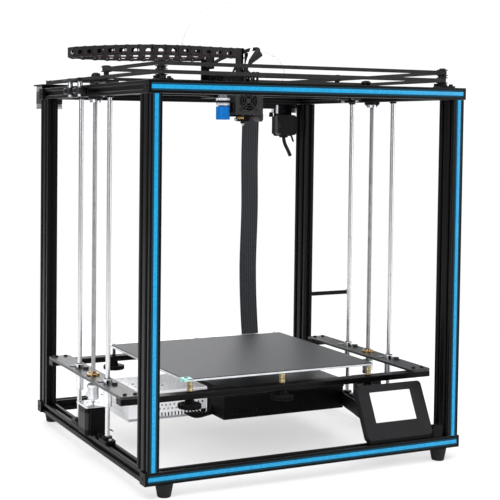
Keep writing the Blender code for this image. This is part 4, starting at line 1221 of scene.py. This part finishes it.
def head_wiring():
    """The mount that carries the chain's first link, and the bundle that rises to it."""
    mount = Piece("chain_mount", "head", "black_plastic")
    mount.box((285.5, 264.5, PLATE_TOP - 0.4), (302.5, 284.5, 629.5), PLASTIC, 0.5)
    mount.box((287, 268, 629), (302.5, 270.6, 690.5), CHAIN_BLACK, 0.6)
    mount.box((298, 268, 629), (302.5, 285, 690.5), PLASTIC, 0.6)
    mount.box((303, 262, 640), (309, 266, 682), PLASTIC, 0.8)
    mount.wire([(296, 262, 600), (301, 262, 634), (307, 262, 659)], 3.0, WIRE, 10, 14)
    mount.wire([(293, 249.4, 616), (296.5, 250.6, 640), (300, 252, 658)], 3.6, BLACK_BOLT, 8, 16)
    mount.wire([(331, 263, 683), (332, 270, 690), (318, 277, 688), (302, 277, 682)], 3.4, WIRE, 10, 14)
    gland = Matrix.Translation((319, 262, 671)) @ Matrix.Rotation(radians(46), 4, "Y")
    cone = bmesh.new()
    bmesh.ops.create_cone(cone, cap_ends=True, segments=28, radius1=3.0, radius2=8.5, depth=34)
    mount.add(cone, CHAIN_BLACK, gland, 0.8)
    for i, (x, paint) in enumerate(((300, WIRE), (305, RED_WIRE), (309, WIRE))):
        lead = [(x, 256, 608), (x + 4, 258 - i, 630), (x + 2, 262, 646), (x - 6, 272, 662)]
        mount.wire(lead, 1.6, paint)
    mount.ride()


def hot_end():
    """The finned heat sink, the sleeved heater block and the nozzle."""
    sink = Piece("hot_end_assembly", "head", "hot_end_metal", "hot_end")
    profile = [(0, 606), (5.6, 606), (6, 605.6)]
    for i in reversed(range(8)):
        z = 573.0 + i * 4.0
        profile += [(5.4, z + 1.3), (10.7, z + 1.3), (11, z + 0.9), (11, z + 0.4), (10.7, z), (5.4, z)]
    profile += [(3.4, 572), (2.2, 570), (2.2, 560), (0, 560)]
    x, y = HEAD_X, NOZZLE_Y
    centre = (x, y, 0)
    sink.lathe(profile, centre, SILVER)
    sink.box((x - 10, y - 8, 557.5), (x + 10, y + 8, 568), PLASTIC, 0.8)
    sink.box((x - 13, y - 8.6, 562), (x - 2, y - 2, 566.5), BRASS, 0.6)
    sink.rod((x - 14, y + 3.5, 561.5), 28, 3.0, SILVER, "X")
    sink.rod((x, y, 554), 4.0, 4.2, BLACK_BOLT, "Z", 0.3, 6)
    sink.lathe([(0, 554.2), (3.2, 554.2), (2.6, 552.6), (0.9, 549.6), (0, 549.6)], centre, THREAD)
    fitting = [(2.2, 614), (4.2, 614), (4.6, 613), (4.6, 606), (2.2, 606)]
    sink.lathe(fitting, centre, BLACK_BOLT, closed=True)
    lead = [(x + 13, y + 4, 561.5), (x + 20, y + 8, 562), (x + 22, 262, 572), (x + 20, 266, 600)]
    sink.wire(lead, 1.3, RED_WIRE)
    sink.ride()


def shroud():
    """The head's cover, with a round fan window crossed by a ringed guard, and a side duct."""
    low, high = corner_box("fan_shroud")
    # The thin cover leaves the CAD block's left edge and its foot free
    low.x += 2
    low.z += 7
    cover = Piece("head_cover", "head", "black_plastic", "fan_shroud")
    fan = (HEAD_X, FAN_Z)
    front = [round_rect((low.x, low.z), (high.x, high.z), 2.5), circle(18.5, 48, fan)]
    cover.sheet(front, low.y, low.y + 2, SHROUD, UPRIGHT, 0.4)
    cover.box((low.x, low.y + 1, low.z), (low.x + 2, high.y, high.z), SHROUD, 0.4)
    cover.box((high.x - 2, low.y + 1, low.z), (high.x, high.y, high.z), SHROUD, 0.4)
    roof = [round_rect((low.x, low.y + 0.5), (high.x, high.y), 1), circle(5.4, 24, (HEAD_X, NOZZLE_Y))]
    cover.sheet(roof, high.z - 2, high.z, SHROUD)
    for r in (17.6, 13.2, 8.8):
        ring = [circle(r + 0.55, 48, fan), circle(r - 0.55, 48, fan)]
        cover.sheet(ring, low.y - 0.6, low.y + 0.9, SHROUD, UPRIGHT, 0.2)
    cover.sheet([circle(4.6, 28, fan)], low.y - 0.6, low.y + 0.9, SHROUD, UPRIGHT, 0.3)
    for i in range(4):
        spin = Matrix.Rotation(radians(45 + 90 * i), 4, "Y")
        arm = Matrix.Translation((HEAD_X, low.y + 0.2, FAN_Z)) @ spin
        cover.box((3.95, -0.65, -0.75), (18.45, 0.65, 0.75), SHROUD, 0.2, arm)
    for dx, dz in four(16):
        cover.bolt((HEAD_X + dx, low.y, FAN_Z + dz), "-Y", 2.4, BLACK_BOLT, 1.2)
    duct = [(315, 572), (325.5, 572), (325.5, 561), (322.5, 557), (318, 561), (315, 567)]
    cover.sheet([duct], 233, 257, SHROUD, UPRIGHT, 0.6)
    blower = [(320 + 5 * x, 597 + 15 * z) for x, z in circle(1, 40)]
    cover.sheet([blower], 234, 256, SHROUD, UPRIGHT, 0.6)
    cover.ride()


def fan():
    """The fan's hub and its seven twisted blades, black plastic drawn deeper black as painted shade for
    the fan's dim inside.
    """
    rotor = Piece("fan_blades", "fan", "black_plastic", "fan_rotor")
    low, high = corner_box("fan_rotor")
    y = (low.y + high.y) / 2
    centre = (HEAD_X, y, FAN_Z)
    rotor.lathe([(0, -3), (7.4, -3), (8, -2.4), (8, 3), (0, 3)], centre, DEEP_BLACK_AND_SHADE, "Y")
    for i in range(7):
        spin = Matrix.Rotation(2 * pi * i / 7, 4, "Y")
        bm = bmesh.new()
        rows = []
        for k in range(6):
            r = 7.2 + 9.8 * k / 5
            twist = radians(52 - 22 * k / 5)
            sweep = 0.16 * k / 5
            row = []
            for s in (-1, -0.33, 0.33, 1):
                u = s * (3.0 + 0.55 * k) * cos(twist)
                v = s * 2.7 * sin(twist)
                lean = sweep + u / r
                row.append((r * sin(lean), v, r * cos(lean)))
            rows.append([bm.verts.new(p) for p in row])
        for a, b in zip(rows, rows[1:]):
            for m in range(3):
                bm.faces.new((a[m], a[m + 1], b[m + 1], b[m]))
        bmesh.ops.solidify(bm, geom=bm.faces[:], thickness=0.7)
        rotor.add(bm, DEEP_BLACK_AND_SHADE, Matrix.Translation(centre) @ spin)
    rotor.ride()


# ---------------------------------------------------------------- chain and tube
CHAIN_PATH = [
    (302, 276.5), (250, 270), (190, 262), (132, 266), (92, 291), (60, 330), (36, 372),
    (24, 410), (36, 436), (64, 439), (118, 424), (180, 392), (262, 345),
]


def chain_link(piece, a, b, drop=0.0):
    """One link between two pivots: top and bottom plates, two side bridges and its pins."""
    along = b - a
    length = along.length
    angle = atan2(along.y, along.x)
    matrix = Matrix.Translation((a.x, a.y, -drop)) @ Matrix.Rotation(angle, 4, "Z")
    half = 6.6
    ear = round_rect((-5.2, -half), (length + 4.4, half), 4.6, 4)
    for low, high in ((CHAIN_LOW, CHAIN_LOW + 2.2), (CHAIN_HIGH - 3.0, CHAIN_HIGH)):
        piece.sheet([ear], low, high, CHAIN_BLACK, matrix, 0.3)
    middle = (CHAIN_LOW + CHAIN_HIGH) / 2
    opening = length / 2 - 4.0
    wall = round_rect((0.4, middle - 6.4), (length - 0.4, CHAIN_HIGH - 2), 0.8, 2)
    window = round_rect((opening - 5.4, middle - 5.4), (opening + 5.4, middle + 3.2), 4.2)
    for side in (-1, 1):
        low, high = sorted((side * half, side * (half - 1.4)))
        piece.sheet([wall, window], low, high, CHAIN_BLACK, matrix @ UPRIGHT, 0.2)
    pin = [(0, 0.9), (2.8, 0.9), (3.2, 0.5), (3.2, -0.5), (0, -0.5)]
    for z, axis in ((CHAIN_HIGH, "Z"), (CHAIN_LOW, "-Z")):
        piece.lathe(pin, (a.x, a.y, z - drop), CHAIN_BLACK, axis, 20)


def chain_cable(chain, line, row, low, phase, paint):
    """One cable that lies loosely in the chain."""
    path = []
    for i, p in enumerate(line[::6] + line[-1:]):
        path.append(Vector((p.x, p.y + row, low + 0.6 * sin(i * 0.09 + phase))))
    chain.sweep(path, circle(1.6, 8), paint)


def cable_chain():
    """The chain in two stretches, which meet at its leftmost link."""
    path = even_path(smooth_path([(x, y, 0) for x, y in CHAIN_PATH], 12), 1.0)
    joints = even_path(path, CHAIN_PITCH)
    turn = min(range(len(joints)), key=lambda i: joints[i].x)
    split = min(range(len(path)), key=lambda i: (path[i] - joints[turn]).length)
    low_x = joints[turn].x
    runs = (
        ("near", joints[: turn + 1], path[: split + 1], CHAIN_PATH[0][0]),
        ("far", joints[turn:], path[split:], CHAIN_PATH[-1][0]),
    )
    for name, stretch, line, end_x in runs:
        chain = Piece(f"cable_chain_{name}", "gantry", "black_plastic")
        if name == "near":
            chain.nodes = ("cable_chain",)
        for i, (a, b) in enumerate(zip(stretch, stretch[1:])):
            drop = min(2.6, 0.6 * i) if name == "far" else 0.0
            chain_link(chain, a, b, drop)
        chain_cable(chain, line, 2.4, 675.6, 0, WIRE)
        chain_cable(chain, line, -2.2, 676.0, 1, RED_WIRE)
        made = chain.done()
        still, moving = point(2 * low_x - end_x, 0, 0), point(end_x, 0, 0)
        if name == "far":
            still, moving = moving, still
        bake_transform(made)
    chain_anchor()


def chain_anchor():
    """The fixed end: a block on the strap behind the beam, with a collar round the cables."""
    anchor = Piece("chain_anchor", "gantry", "black_plastic")
    anchor.box((261, 334.5, 655), (277.5, 340, 690.5), CHAIN_BLACK, 0.6)
    anchor.box((261, 334.5, 655), (277.5, 352, 658), CHAIN_BLACK, 0.6)
    anchor.box((273, 334.5, 655), (277.5, 352, 690.5), CHAIN_BLACK, 0.6)
    lead = [(274, 343, 667), (283, 345, 668), (298, 348, 675), (313, 347, 681), (322, 344, 684)]
    anchor.wire(lead, 3.3, WIRE)
    anchor.ride()


TUBE_FRAME_SIDE = [
    (512, 529.5, 579), (524, 529, 620), (531, 512, 660), (508, 494, 687), (472, 478, 699),
    (420, 450, 702), (350, 412, 698), (290, 384, 694.5), (240, 362, 695.5), (214, 343, 699),
]
TUBE_HEAD_SIDE = [
    (214, 343, 699), (213, 336, 712), (219, 328, 731), (234, 318, 753), (257, 308, 769.5),
    (283, 298, 775.5), (305, 288, 769), (320, 278, 753.5), (327, 268, 728), (322, 262, 709),
    (309, 255, 681), (300, 252, 659), (292.5, 249.2, 612),
]


def filament_tube():
    """The tube in two stretches: feeder to loop, and loop to head."""
    first = Piece("tube_feeder_side", "gantry", "white_tube", "bowden_tube")
    second = Piece("tube_head_side", "head", "white_tube")
    for piece, places in ((first, TUBE_FRAME_SIDE), (second, TUBE_HEAD_SIDE)):
        piece.sweep(even_path(smooth_path(places, 10), 4.0), circle(2.0, 16), TUBE)
    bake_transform(first.done())
    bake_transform(second.done())


# ---------------------------------------------------------------- boxes and fittings
def hangers(piece, low, high, paint):
    """Two straps from a case's back edge, stepping down to the rear bottom bar."""
    back = DEPTH - 3.5
    for x in (low.x + STRAP, high.x - 2 * STRAP):
        piece.box((x, high.y - 12, low.z - 1.4), (x + STRAP, back, low.z + 0.6), paint, 0.3)
        piece.box((x, DEPTH - 19, BAR + 0.2), (x + STRAP, back, low.z), paint, 0.4)
        piece.bolt((x + 7.5, DEPTH - 10, low.z + 0.6), "Z", 3.6, BLACK_BOLT, 2.4)


def case_walls(node, back):
    """The lowest and highest corner of a case that hangs above the floor and ends at back."""
    low, high = corner_box(node)
    return Vector((low.x, low.y, CASE_FLOOR)), Vector((high.x, back, high.z))


def control_box():
    """The controller's folded case: louvred sides, a fan window and a row of sockets."""
    low, high = case_walls("control_box", 420.0)
    box = Piece("controller_case", "frame", "black_sheet_metal", "control_box")
    box.box(low, (high.x, high.y, high.z - 6), POWDER, 0.8)
    brim = Vector((0.9, 0.9, 0))
    box.box(Vector((low.x, low.y, high.z - 14)) - brim, high + brim - UP * 0.6, POWDER, 0.8)
    box.box((low.x, low.y, high.z - 2), (high.x, high.y, high.z), CASE_LID, 0.6)
    for i in range(14):
        y = low.y + 22 + 13 * i
        for x in (low.x - 0.7, high.x - 0.5):
            for z in (40, 47, 54):
                box.box((x, y, z), (x + 1.2, y + 7, z + 3.2), POWDER, 0.4)
    for i in range(6):
        x = low.x + 16 + 17 * i
        paint = DEEP_BLACK_AND_SHADE if i % 3 == 1 else PLASTIC
        box.box((x, low.y - 1.4, 40), (x + 12, low.y + 1, 48), paint, 0.5)
    for x in (low.x + 6, high.x - 6):
        for y in (low.y + 8, high.y - 8):
            box.bolt((x, y, high.z), "Z", 3.0, ZINC, 1.4)
        box.bolt((x, low.y - 0.9, 78), "-Y", 2.6, ZINC, 1.2)
    fan_guard(box, (low.x + 190, low.y + 110), high.z, 26)
    hangers(box, low, high, POWDER)
    box.ride()


def fan_guard(box, centre, top, radius):
    """Wire rings crossed by two straight wires."""
    for r in range(8, radius + 1, 6):
        ring = [circle(r + 0.8, 40, centre), circle(r - 0.8, 40, centre)]
        box.sheet(ring, top, top + 1.4, BLACK_BOLT, None, 0.3)
    middle = Vector((*centre, top + 0.8))
    for angle in (45, 135):
        reach = Vector((cos(radians(angle)), sin(radians(angle)), 0)) * radius
        box.sweep([middle - reach, middle + reach], circle(0.8, 8), BLACK_BOLT)


def honeycomb(low, high, pitch, radius):
    """Staggered round holes that fill a rectangle."""
    holes = []
    rows = int((high[1] - low[1]) / (pitch * 0.866))
    for row in range(rows):
        y = low[1] + radius + row * pitch * 0.866
        x = low[0] + radius + (pitch / 2 if row % 2 else 0)
        while x < high[0] - radius:
            holes.append(circle(radius, 6, (x, y)))
            x += pitch
    return holes


def power_supply():
    """The supply's silver case: perforated lid and walls, with a row of terminals below."""
    low, high = case_walls("power_supply", 383.0)
    low.z = 30.0
    supply = Piece("supply_case", "frame", "perforated_silver", "power_supply")
    sheet_t, pitch, hole_r = 1.2, 8.0, 2.3
    core_low, core_high = (low.x + 2, low.y + 2, low.z), (high.x - 2, high.y - 2, high.z - 2)
    supply.box(core_low, core_high, SUPPLY_INSIDE, 0.5)
    supply.box(low, (high.x, high.y, low.z + 1.6), SUPPLY_SILVER, 0.3)
    lid = round_rect((low.x, low.y), (high.x, high.y), 1.5)
    holes = honeycomb((low.x + 10, low.y + 10), (high.x - 10, high.y - 10), pitch, hole_r)
    supply.sheet([lid] + holes, high.z - sheet_t, high.z, SUPPLY_SILVER, None, 0)
    wall = round_rect((low.y, low.z), (high.y, high.z), 1.0)
    vents = honeycomb((low.y + 20, low.z + 9), (high.y - 12, high.z - 7), pitch, hole_r)
    for x in (low.x, high.x - sheet_t):
        supply.sheet([wall] + vents, x, x + sheet_t, SUPPLY_SILVER, SIDEWAYS, 0)
    sill = low.z + 11
    end = round_rect((low.x, sill), (high.x, high.z), 1.0)
    grid = honeycomb((low.x + 26, sill + 4), (high.x - 5, high.z - 6), pitch, hole_r)
    for y in (low.y, high.y - sheet_t):
        supply.sheet([end] + grid, y, y + sheet_t, SUPPLY_SILVER, UPRIGHT, 0)
    socket_low, socket_high = (high.x - 26, low.y + 1.3, sill + 2), (high.x - 4, low.y + 3, high.z - 4)
    supply.box(socket_low, socket_high, DEEP_BLACK_AND_SHADE, 0.1)
    terminals(supply, low, high.x, sill)
    for x, y, r in ((113.7, 324.8, 2.8), (111, 304, 2.0), (160, 297, 2.6)):
        supply.rod((x, y, high.z), 0.5, r, BLACK_BOLT, count=16)
    hangers(supply, low, high, SUPPLY_SILVER)
    supply.ride()


def terminals(supply, low, right, sill):
    """Pale teeth between dark terminal slots, and the bundle of leads to the controller."""
    tray = low.z + 4.5
    supply.box((low.x + 18, low.y + 0.6, tray), (right - 2, low.y + 2, sill), DEEP_BLACK_AND_SHADE, 0.1)
    supply.box((low.x, low.y, tray), (low.x + 18, low.y + 1.2, sill + 1), SUPPLY_SILVER, 0.2)
    # The strip along the case's foot is darker silver: painted shade.
    supply.box((low.x, low.y, low.z), (right, low.y + 1.2, tray + 0.2), SUPPLY_PAINTED_SHADE, 0.2)
    pitch = 6.5
    for i in range(int((right - low.x - 24) / pitch)):
        x = low.x + 20 + pitch * i
        supply.box((x, low.y - 1.0, tray), (x + 3.4, low.y + 1.2, sill + 0.5), SUPPLY_SILVER, 0.2)
    for i in range(6):
        start = (right - 46 + 7 * i, low.y - 1, sill - 3)
        sag = (right - 26 + 4 * i, low.y - 9, low.z - 1 + i)
        end = (right + 3.5, low.y - 14, low.z + 4 + 3 * i)
        supply.wire([start, sag, end], 1.8, WIRE)


def flat_cable(half_thick, half_wide):
    return [
        (-half_thick, -half_wide),
        (half_thick, -half_wide),
        (half_thick, half_wide),
        (-half_thick, half_wide),
    ]


def screen():
    """The touch screen: a moulded housing that leans back, its display, bracket and flat cable."""
    low, high = corner_box("screen_housing")
    # The moulding stands half a millimetre to the right of its CAD block
    low.x += 0.5
    high.x += 0.5
    lean = radians(90 - 25.6)
    face = Matrix.Translation((low.x, 0.2, 28.6)) @ Matrix.Rotation(lean, 4, "X")
    width, height = high.x - low.x, 92.4
    housing = Piece("screen_case", "frame", "black_plastic", "screen_housing")
    outline = round_rect((0, 0), (width, height), 7)
    window = round_rect((22.5, 28), (width - 26, height - 13), 1.2)
    housing.sheet([outline], -13.8, -1.0, BEZEL, face, 1.0)
    housing.sheet([outline, window], -1.2, 0.0, BEZEL, face, 0.4)
    display = round_rect((21.5, 27), (width - 25, height - 12), 1)
    housing.sheet([display], -1.1, -0.7, DISPLAY, face, 0)
    for x, y in ((8, 8), (width - 8, 8), (8, height - 8), (width - 8, height - 8)):
        housing.bolt(face @ Vector((x, y, -13.9)), "Y", 2.4, BLACK_BOLT, 1.0)
    housing.box((low.x + 6, 5, 20.2), (high.x + 2, 17, 31), POWDER, 0.5)
    housing.box((high.x + 2, 2, 20.2), (high.x + 20, 4.5, 40), POWDER, 0.5)
    housing.box((high.x - 6, 12, 30), (high.x + 20, 14.5, 40), POWDER, 0.5)
    lead = [(483, 206, 50), (455, 150, 58), (430, 90, 65), (416, 44, 66), (424, 24, 62)]
    housing.sweep(smooth_path(lead, 6), flat_cable(0.9, 12), WIRE, UP)
    housing.ride()


def feeder():
    """The filament drive: a plate with a flat motor in front and the lever and wheel behind."""
    drive = Piece("feeder_assembly", "frame", "motor_black", "extruder")
    x, z, back = 530.5, 553.0, DEPTH + 0.4
    plate = [round_rect((511, 530), (553, 592), 3)]
    drive.sheet(plate, back, back + 3, POWDER, UPRIGHT, 0.4)
    drive.box((504, back, 588), (527, back + 3, HEIGHT), POWDER, 0.4)
    for bolt_x in (509, 520):
        drive.bolt((bolt_x, back + 3, 607), "Y", 3.6, BLACK_BOLT)
    stepper(drive, (x, back - 0.3, z), -24, -0.2, "Y", 26, POWDER)
    drive.box((513, back + 3, 534), (536, back + 14, 571), PLASTIC, 1.2)
    drive.box((536.5, back + 3, 536), (549, back + 13, 569), POWDER, 1.2)
    drive.lathe([(2.6, 24), (5.4, 24), (5.6, 15), (2.6, 15)], (x, back, z), BRASS, "Y", closed=True)
    drive.rod((x + 12, back + 14, z), 9, 6.2, ZINC, "Y")
    drive.rod((512, 529.5, 570), 5, 4.6, BLACK_BOLT, "Z", 0.4, 6)
    drive.rod((512, 529.5, 575), 4.5, 4.0, BLACK_BOLT)
    drive.box((516, 492, 527), (531, 502, 533), DEEP_BLACK_AND_SHADE, 0.5)
    drive.wire([(523, 496, 528), (525, 494, 515), (532, 492, 500), (537, 491, 489)], 3.6, WIRE)
    drive.box((468, 490, 586), (500, 494, 597), POWDER, 0.6)
    drive.box((504.5, 491, 577), (506.5, 497, 594), NYLON, 0.4)
    drive.wire([(507, 494, 578), (507, 491, 566), (508, 489, 556), (513, 490, 546)], 2.2, WIRE)
    drive.ride()


def ribbon_cable():
    """The flat cable that drops from the rear top bar to the controller."""
    cable = Piece("ribbon_cable", "frame", "black_plastic")
    drop = [(441, 491, 597), (440, 488, 560), (439, 488, 480), (441, 489, 380), (438, 488, 260)]
    drop += [(440, 484, 160), (439, 468, 92), (437, 436, 70), (435, 421, 62)]
    across = Vector((1, 0.001, 0))
    cable.sweep(smooth_path(drop, 8), flat_cable(0.8, 19), RIBBON, across)
    cable.box((418, 488, 560), (460, 494, 566), PLASTIC, 0.6)
    cable.ride()


def spool_arm():
    """A plate bolted to the right-hand post, and the rod that carries a spool."""
    low, high = corner_box("spool_holder")
    arm = Piece("spool_arm", "frame", "black_sheet_metal", "spool_holder")
    y, z = (low.y + high.y) / 2, (low.z + high.z) / 2
    face, tip = low.x + 3, high.x
    plate = round_rect((low.y, low.z), (high.y, high.z), 4)
    arm.sheet([plate], low.x, face, POWDER, SIDEWAYS, 0.4)
    for dz in (-11, 11):
        arm.bolt((face, y, z + dz), "X", 3.4, BLACK_BOLT)
    profile = [(0, tip), (6.8, tip), (7.4, tip - 0.8), (7.4, tip - 3.4), (4.2, tip - 4)]
    profile += [(4.2, face + 3), (6.5, face), (0, face)]
    arm.lathe(profile, (0, y, z), PLASTIC, "X")
    arm.ride()


# ---------------------------------------------------------------- studio
def floor():
    """A white floor that takes the machine's soft shadow and fades to plain white round it."""
    material = bpy.data.materials.new("floor")
    made = Nodes(material)
    made.shades(made.noise(1.5), (0.93, 0.93, 0.93), (0.95, 0.95, 0.95))
    fill(made.shader, Roughness=0.8)
    away = made.add("ShaderNodeVectorMath", operation="DISTANCE")
    away.inputs[1].default_value = (MIDDLE.x, MIDDLE.y, 0.0)
    made.link(made.add("ShaderNodeNewGeometry"), "Position", away, 0)
    fade = made.add("ShaderNodeMapRange", interpolation_type="SMOOTHSTEP")
    fill(fade, From_Min=0.55, From_Max=1.5, To_Min=0.55)
    made.link(away, "Value", fade, "Value")
    seen = made.add("ShaderNodeMath", operation="MULTIPLY")
    made.link(fade, "Result", seen, 0)
    made.link(made.add("ShaderNodeLightPath"), "Is Camera Ray", seen, 1)
    mix = made.add("ShaderNodeMixShader")
    made.link(seen, "Value", mix, 0)
    made.link(made.shader, "BSDF", mix, 1)
    made.link(made.add("ShaderNodeEmission", Strength=1.02), "Emission", mix, 2)
    made.link(mix, "Shader", made.tree.nodes["Material Output"], "Surface")
    bm = bmesh.new()
    bmesh.ops.create_grid(bm, x_segments=2, y_segments=2, size=30.0)
    mesh = new_mesh("floor", bm)
    mesh.materials.append(material)
    ground = new_object("floor", mesh)
    ground.location.z = CAD_BOX[0].z


def sky():
    """White to the eye, softer and greyer towards the horizon in reflections."""
    world = bpy.data.worlds.new("studio")
    bpy.context.scene.world = world
    made = Nodes(world)
    made.tree.nodes.clear()
    split = made.add("ShaderNodeSeparateXYZ")
    made.link(made.add("ShaderNodeTexCoord"), "Generated", split, 0)
    ramp = made.add("ShaderNodeValToRGB")
    ramp.color_ramp.elements[0].color = (0.16, 0.165, 0.175, 1)
    ramp.color_ramp.elements[1].color = (0.62, 0.63, 0.65, 1)
    ramp.color_ramp.elements[1].position = 0.8
    made.link(split, "Z", ramp, "Fac")
    soft = made.add("ShaderNodeBackground", Strength=1.0)
    made.link(ramp, "Color", soft, "Color")
    white = made.add("ShaderNodeBackground", Color=(1, 1, 1, 1), Strength=1.05)
    mix = made.add("ShaderNodeMixShader")
    made.link(made.add("ShaderNodeLightPath"), "Is Camera Ray", mix, 0)
    made.link(soft, "Background", mix, 1)
    made.link(white, "Background", mix, 2)
    made.link(mix, "Shader", made.add("ShaderNodeOutputWorld"), "Surface")


def softbox(name, place, size, power):
    """A rectangular light that faces the middle of the machine."""
    light = bpy.data.lights.new(name, "AREA")
    light.shape = "RECTANGLE"
    light.size, light.size_y = size
    light.energy = power
    made = new_object(name, light)
    made.location = place
    aim = MIDDLE - Vector(place)
    made.rotation_mode = "QUATERNION"
    made.rotation_quaternion = aim.to_track_quat("-Z", "Y")


def studio():
    """The floor, the sky and four soft lights."""
    floor()
    sky()
    softbox("overhead", (0.1, 0.1, 2.6), (3.2, 3.2), 70)
    softbox("key_left", (-2.2, -1.4, 1.7), (1.4, 2.0), 55)
    softbox("fill_right", (2.4, -1.6, 1.1), (1.2, 2.0), 30)
    softbox("behind", (0.6, 3.0, 1.6), (3.0, 1.6), 45)
    bpy.context.scene.view_settings.view_transform = "Standard"


CAMERA_PLACE = (-696.69, -1569.42, 544.20)
CAMERA_YAW, CAMERA_PITCH, CAMERA_ROLL = 24.107, 2.326, 0.534
CAMERA_LENS = 82.52
CAMERA_SHIFT = (0.1933, -0.1508)


def camera():
    """The camera stands in front and to the left, nearly level, and looks slightly down."""
    yaw, pitch, roll = (radians(a) for a in (CAMERA_YAW, CAMERA_PITCH, CAMERA_ROLL))
    level = Vector((sin(yaw), cos(yaw), 0))
    ahead = level * cos(pitch) - UP * sin(pitch)
    right = level.cross(UP)
    up = right.cross(ahead)
    level_right = right * cos(roll) + up * sin(roll)
    level_up = up * cos(roll) - right * sin(roll)
    lens = bpy.data.cameras.new("camera")
    lens.sensor_width = 36.0
    lens.lens = CAMERA_LENS
    lens.shift_x, lens.shift_y = CAMERA_SHIFT
    made = new_object("camera", lens)
    basis = Matrix((level_right, level_up, -ahead)).transposed().to_4x4()
    made.matrix_world = Matrix.Translation(point(*CAMERA_PLACE)) @ basis
    bpy.context.scene.camera = made


for draw in (
    paint_bars, slot_covers, feet, frame_bolts, guide_rods, lead_screws, z_motors, lift_plates,
    heated_bed, levelling, carriages, corner_rollers, xy_motors, belts, head_carriage, hot_end,
    shroud, fan, cable_chain, filament_tube, control_box, power_supply, screen, feeder,
    ribbon_cable, spool_arm, studio, camera,
):
    draw()
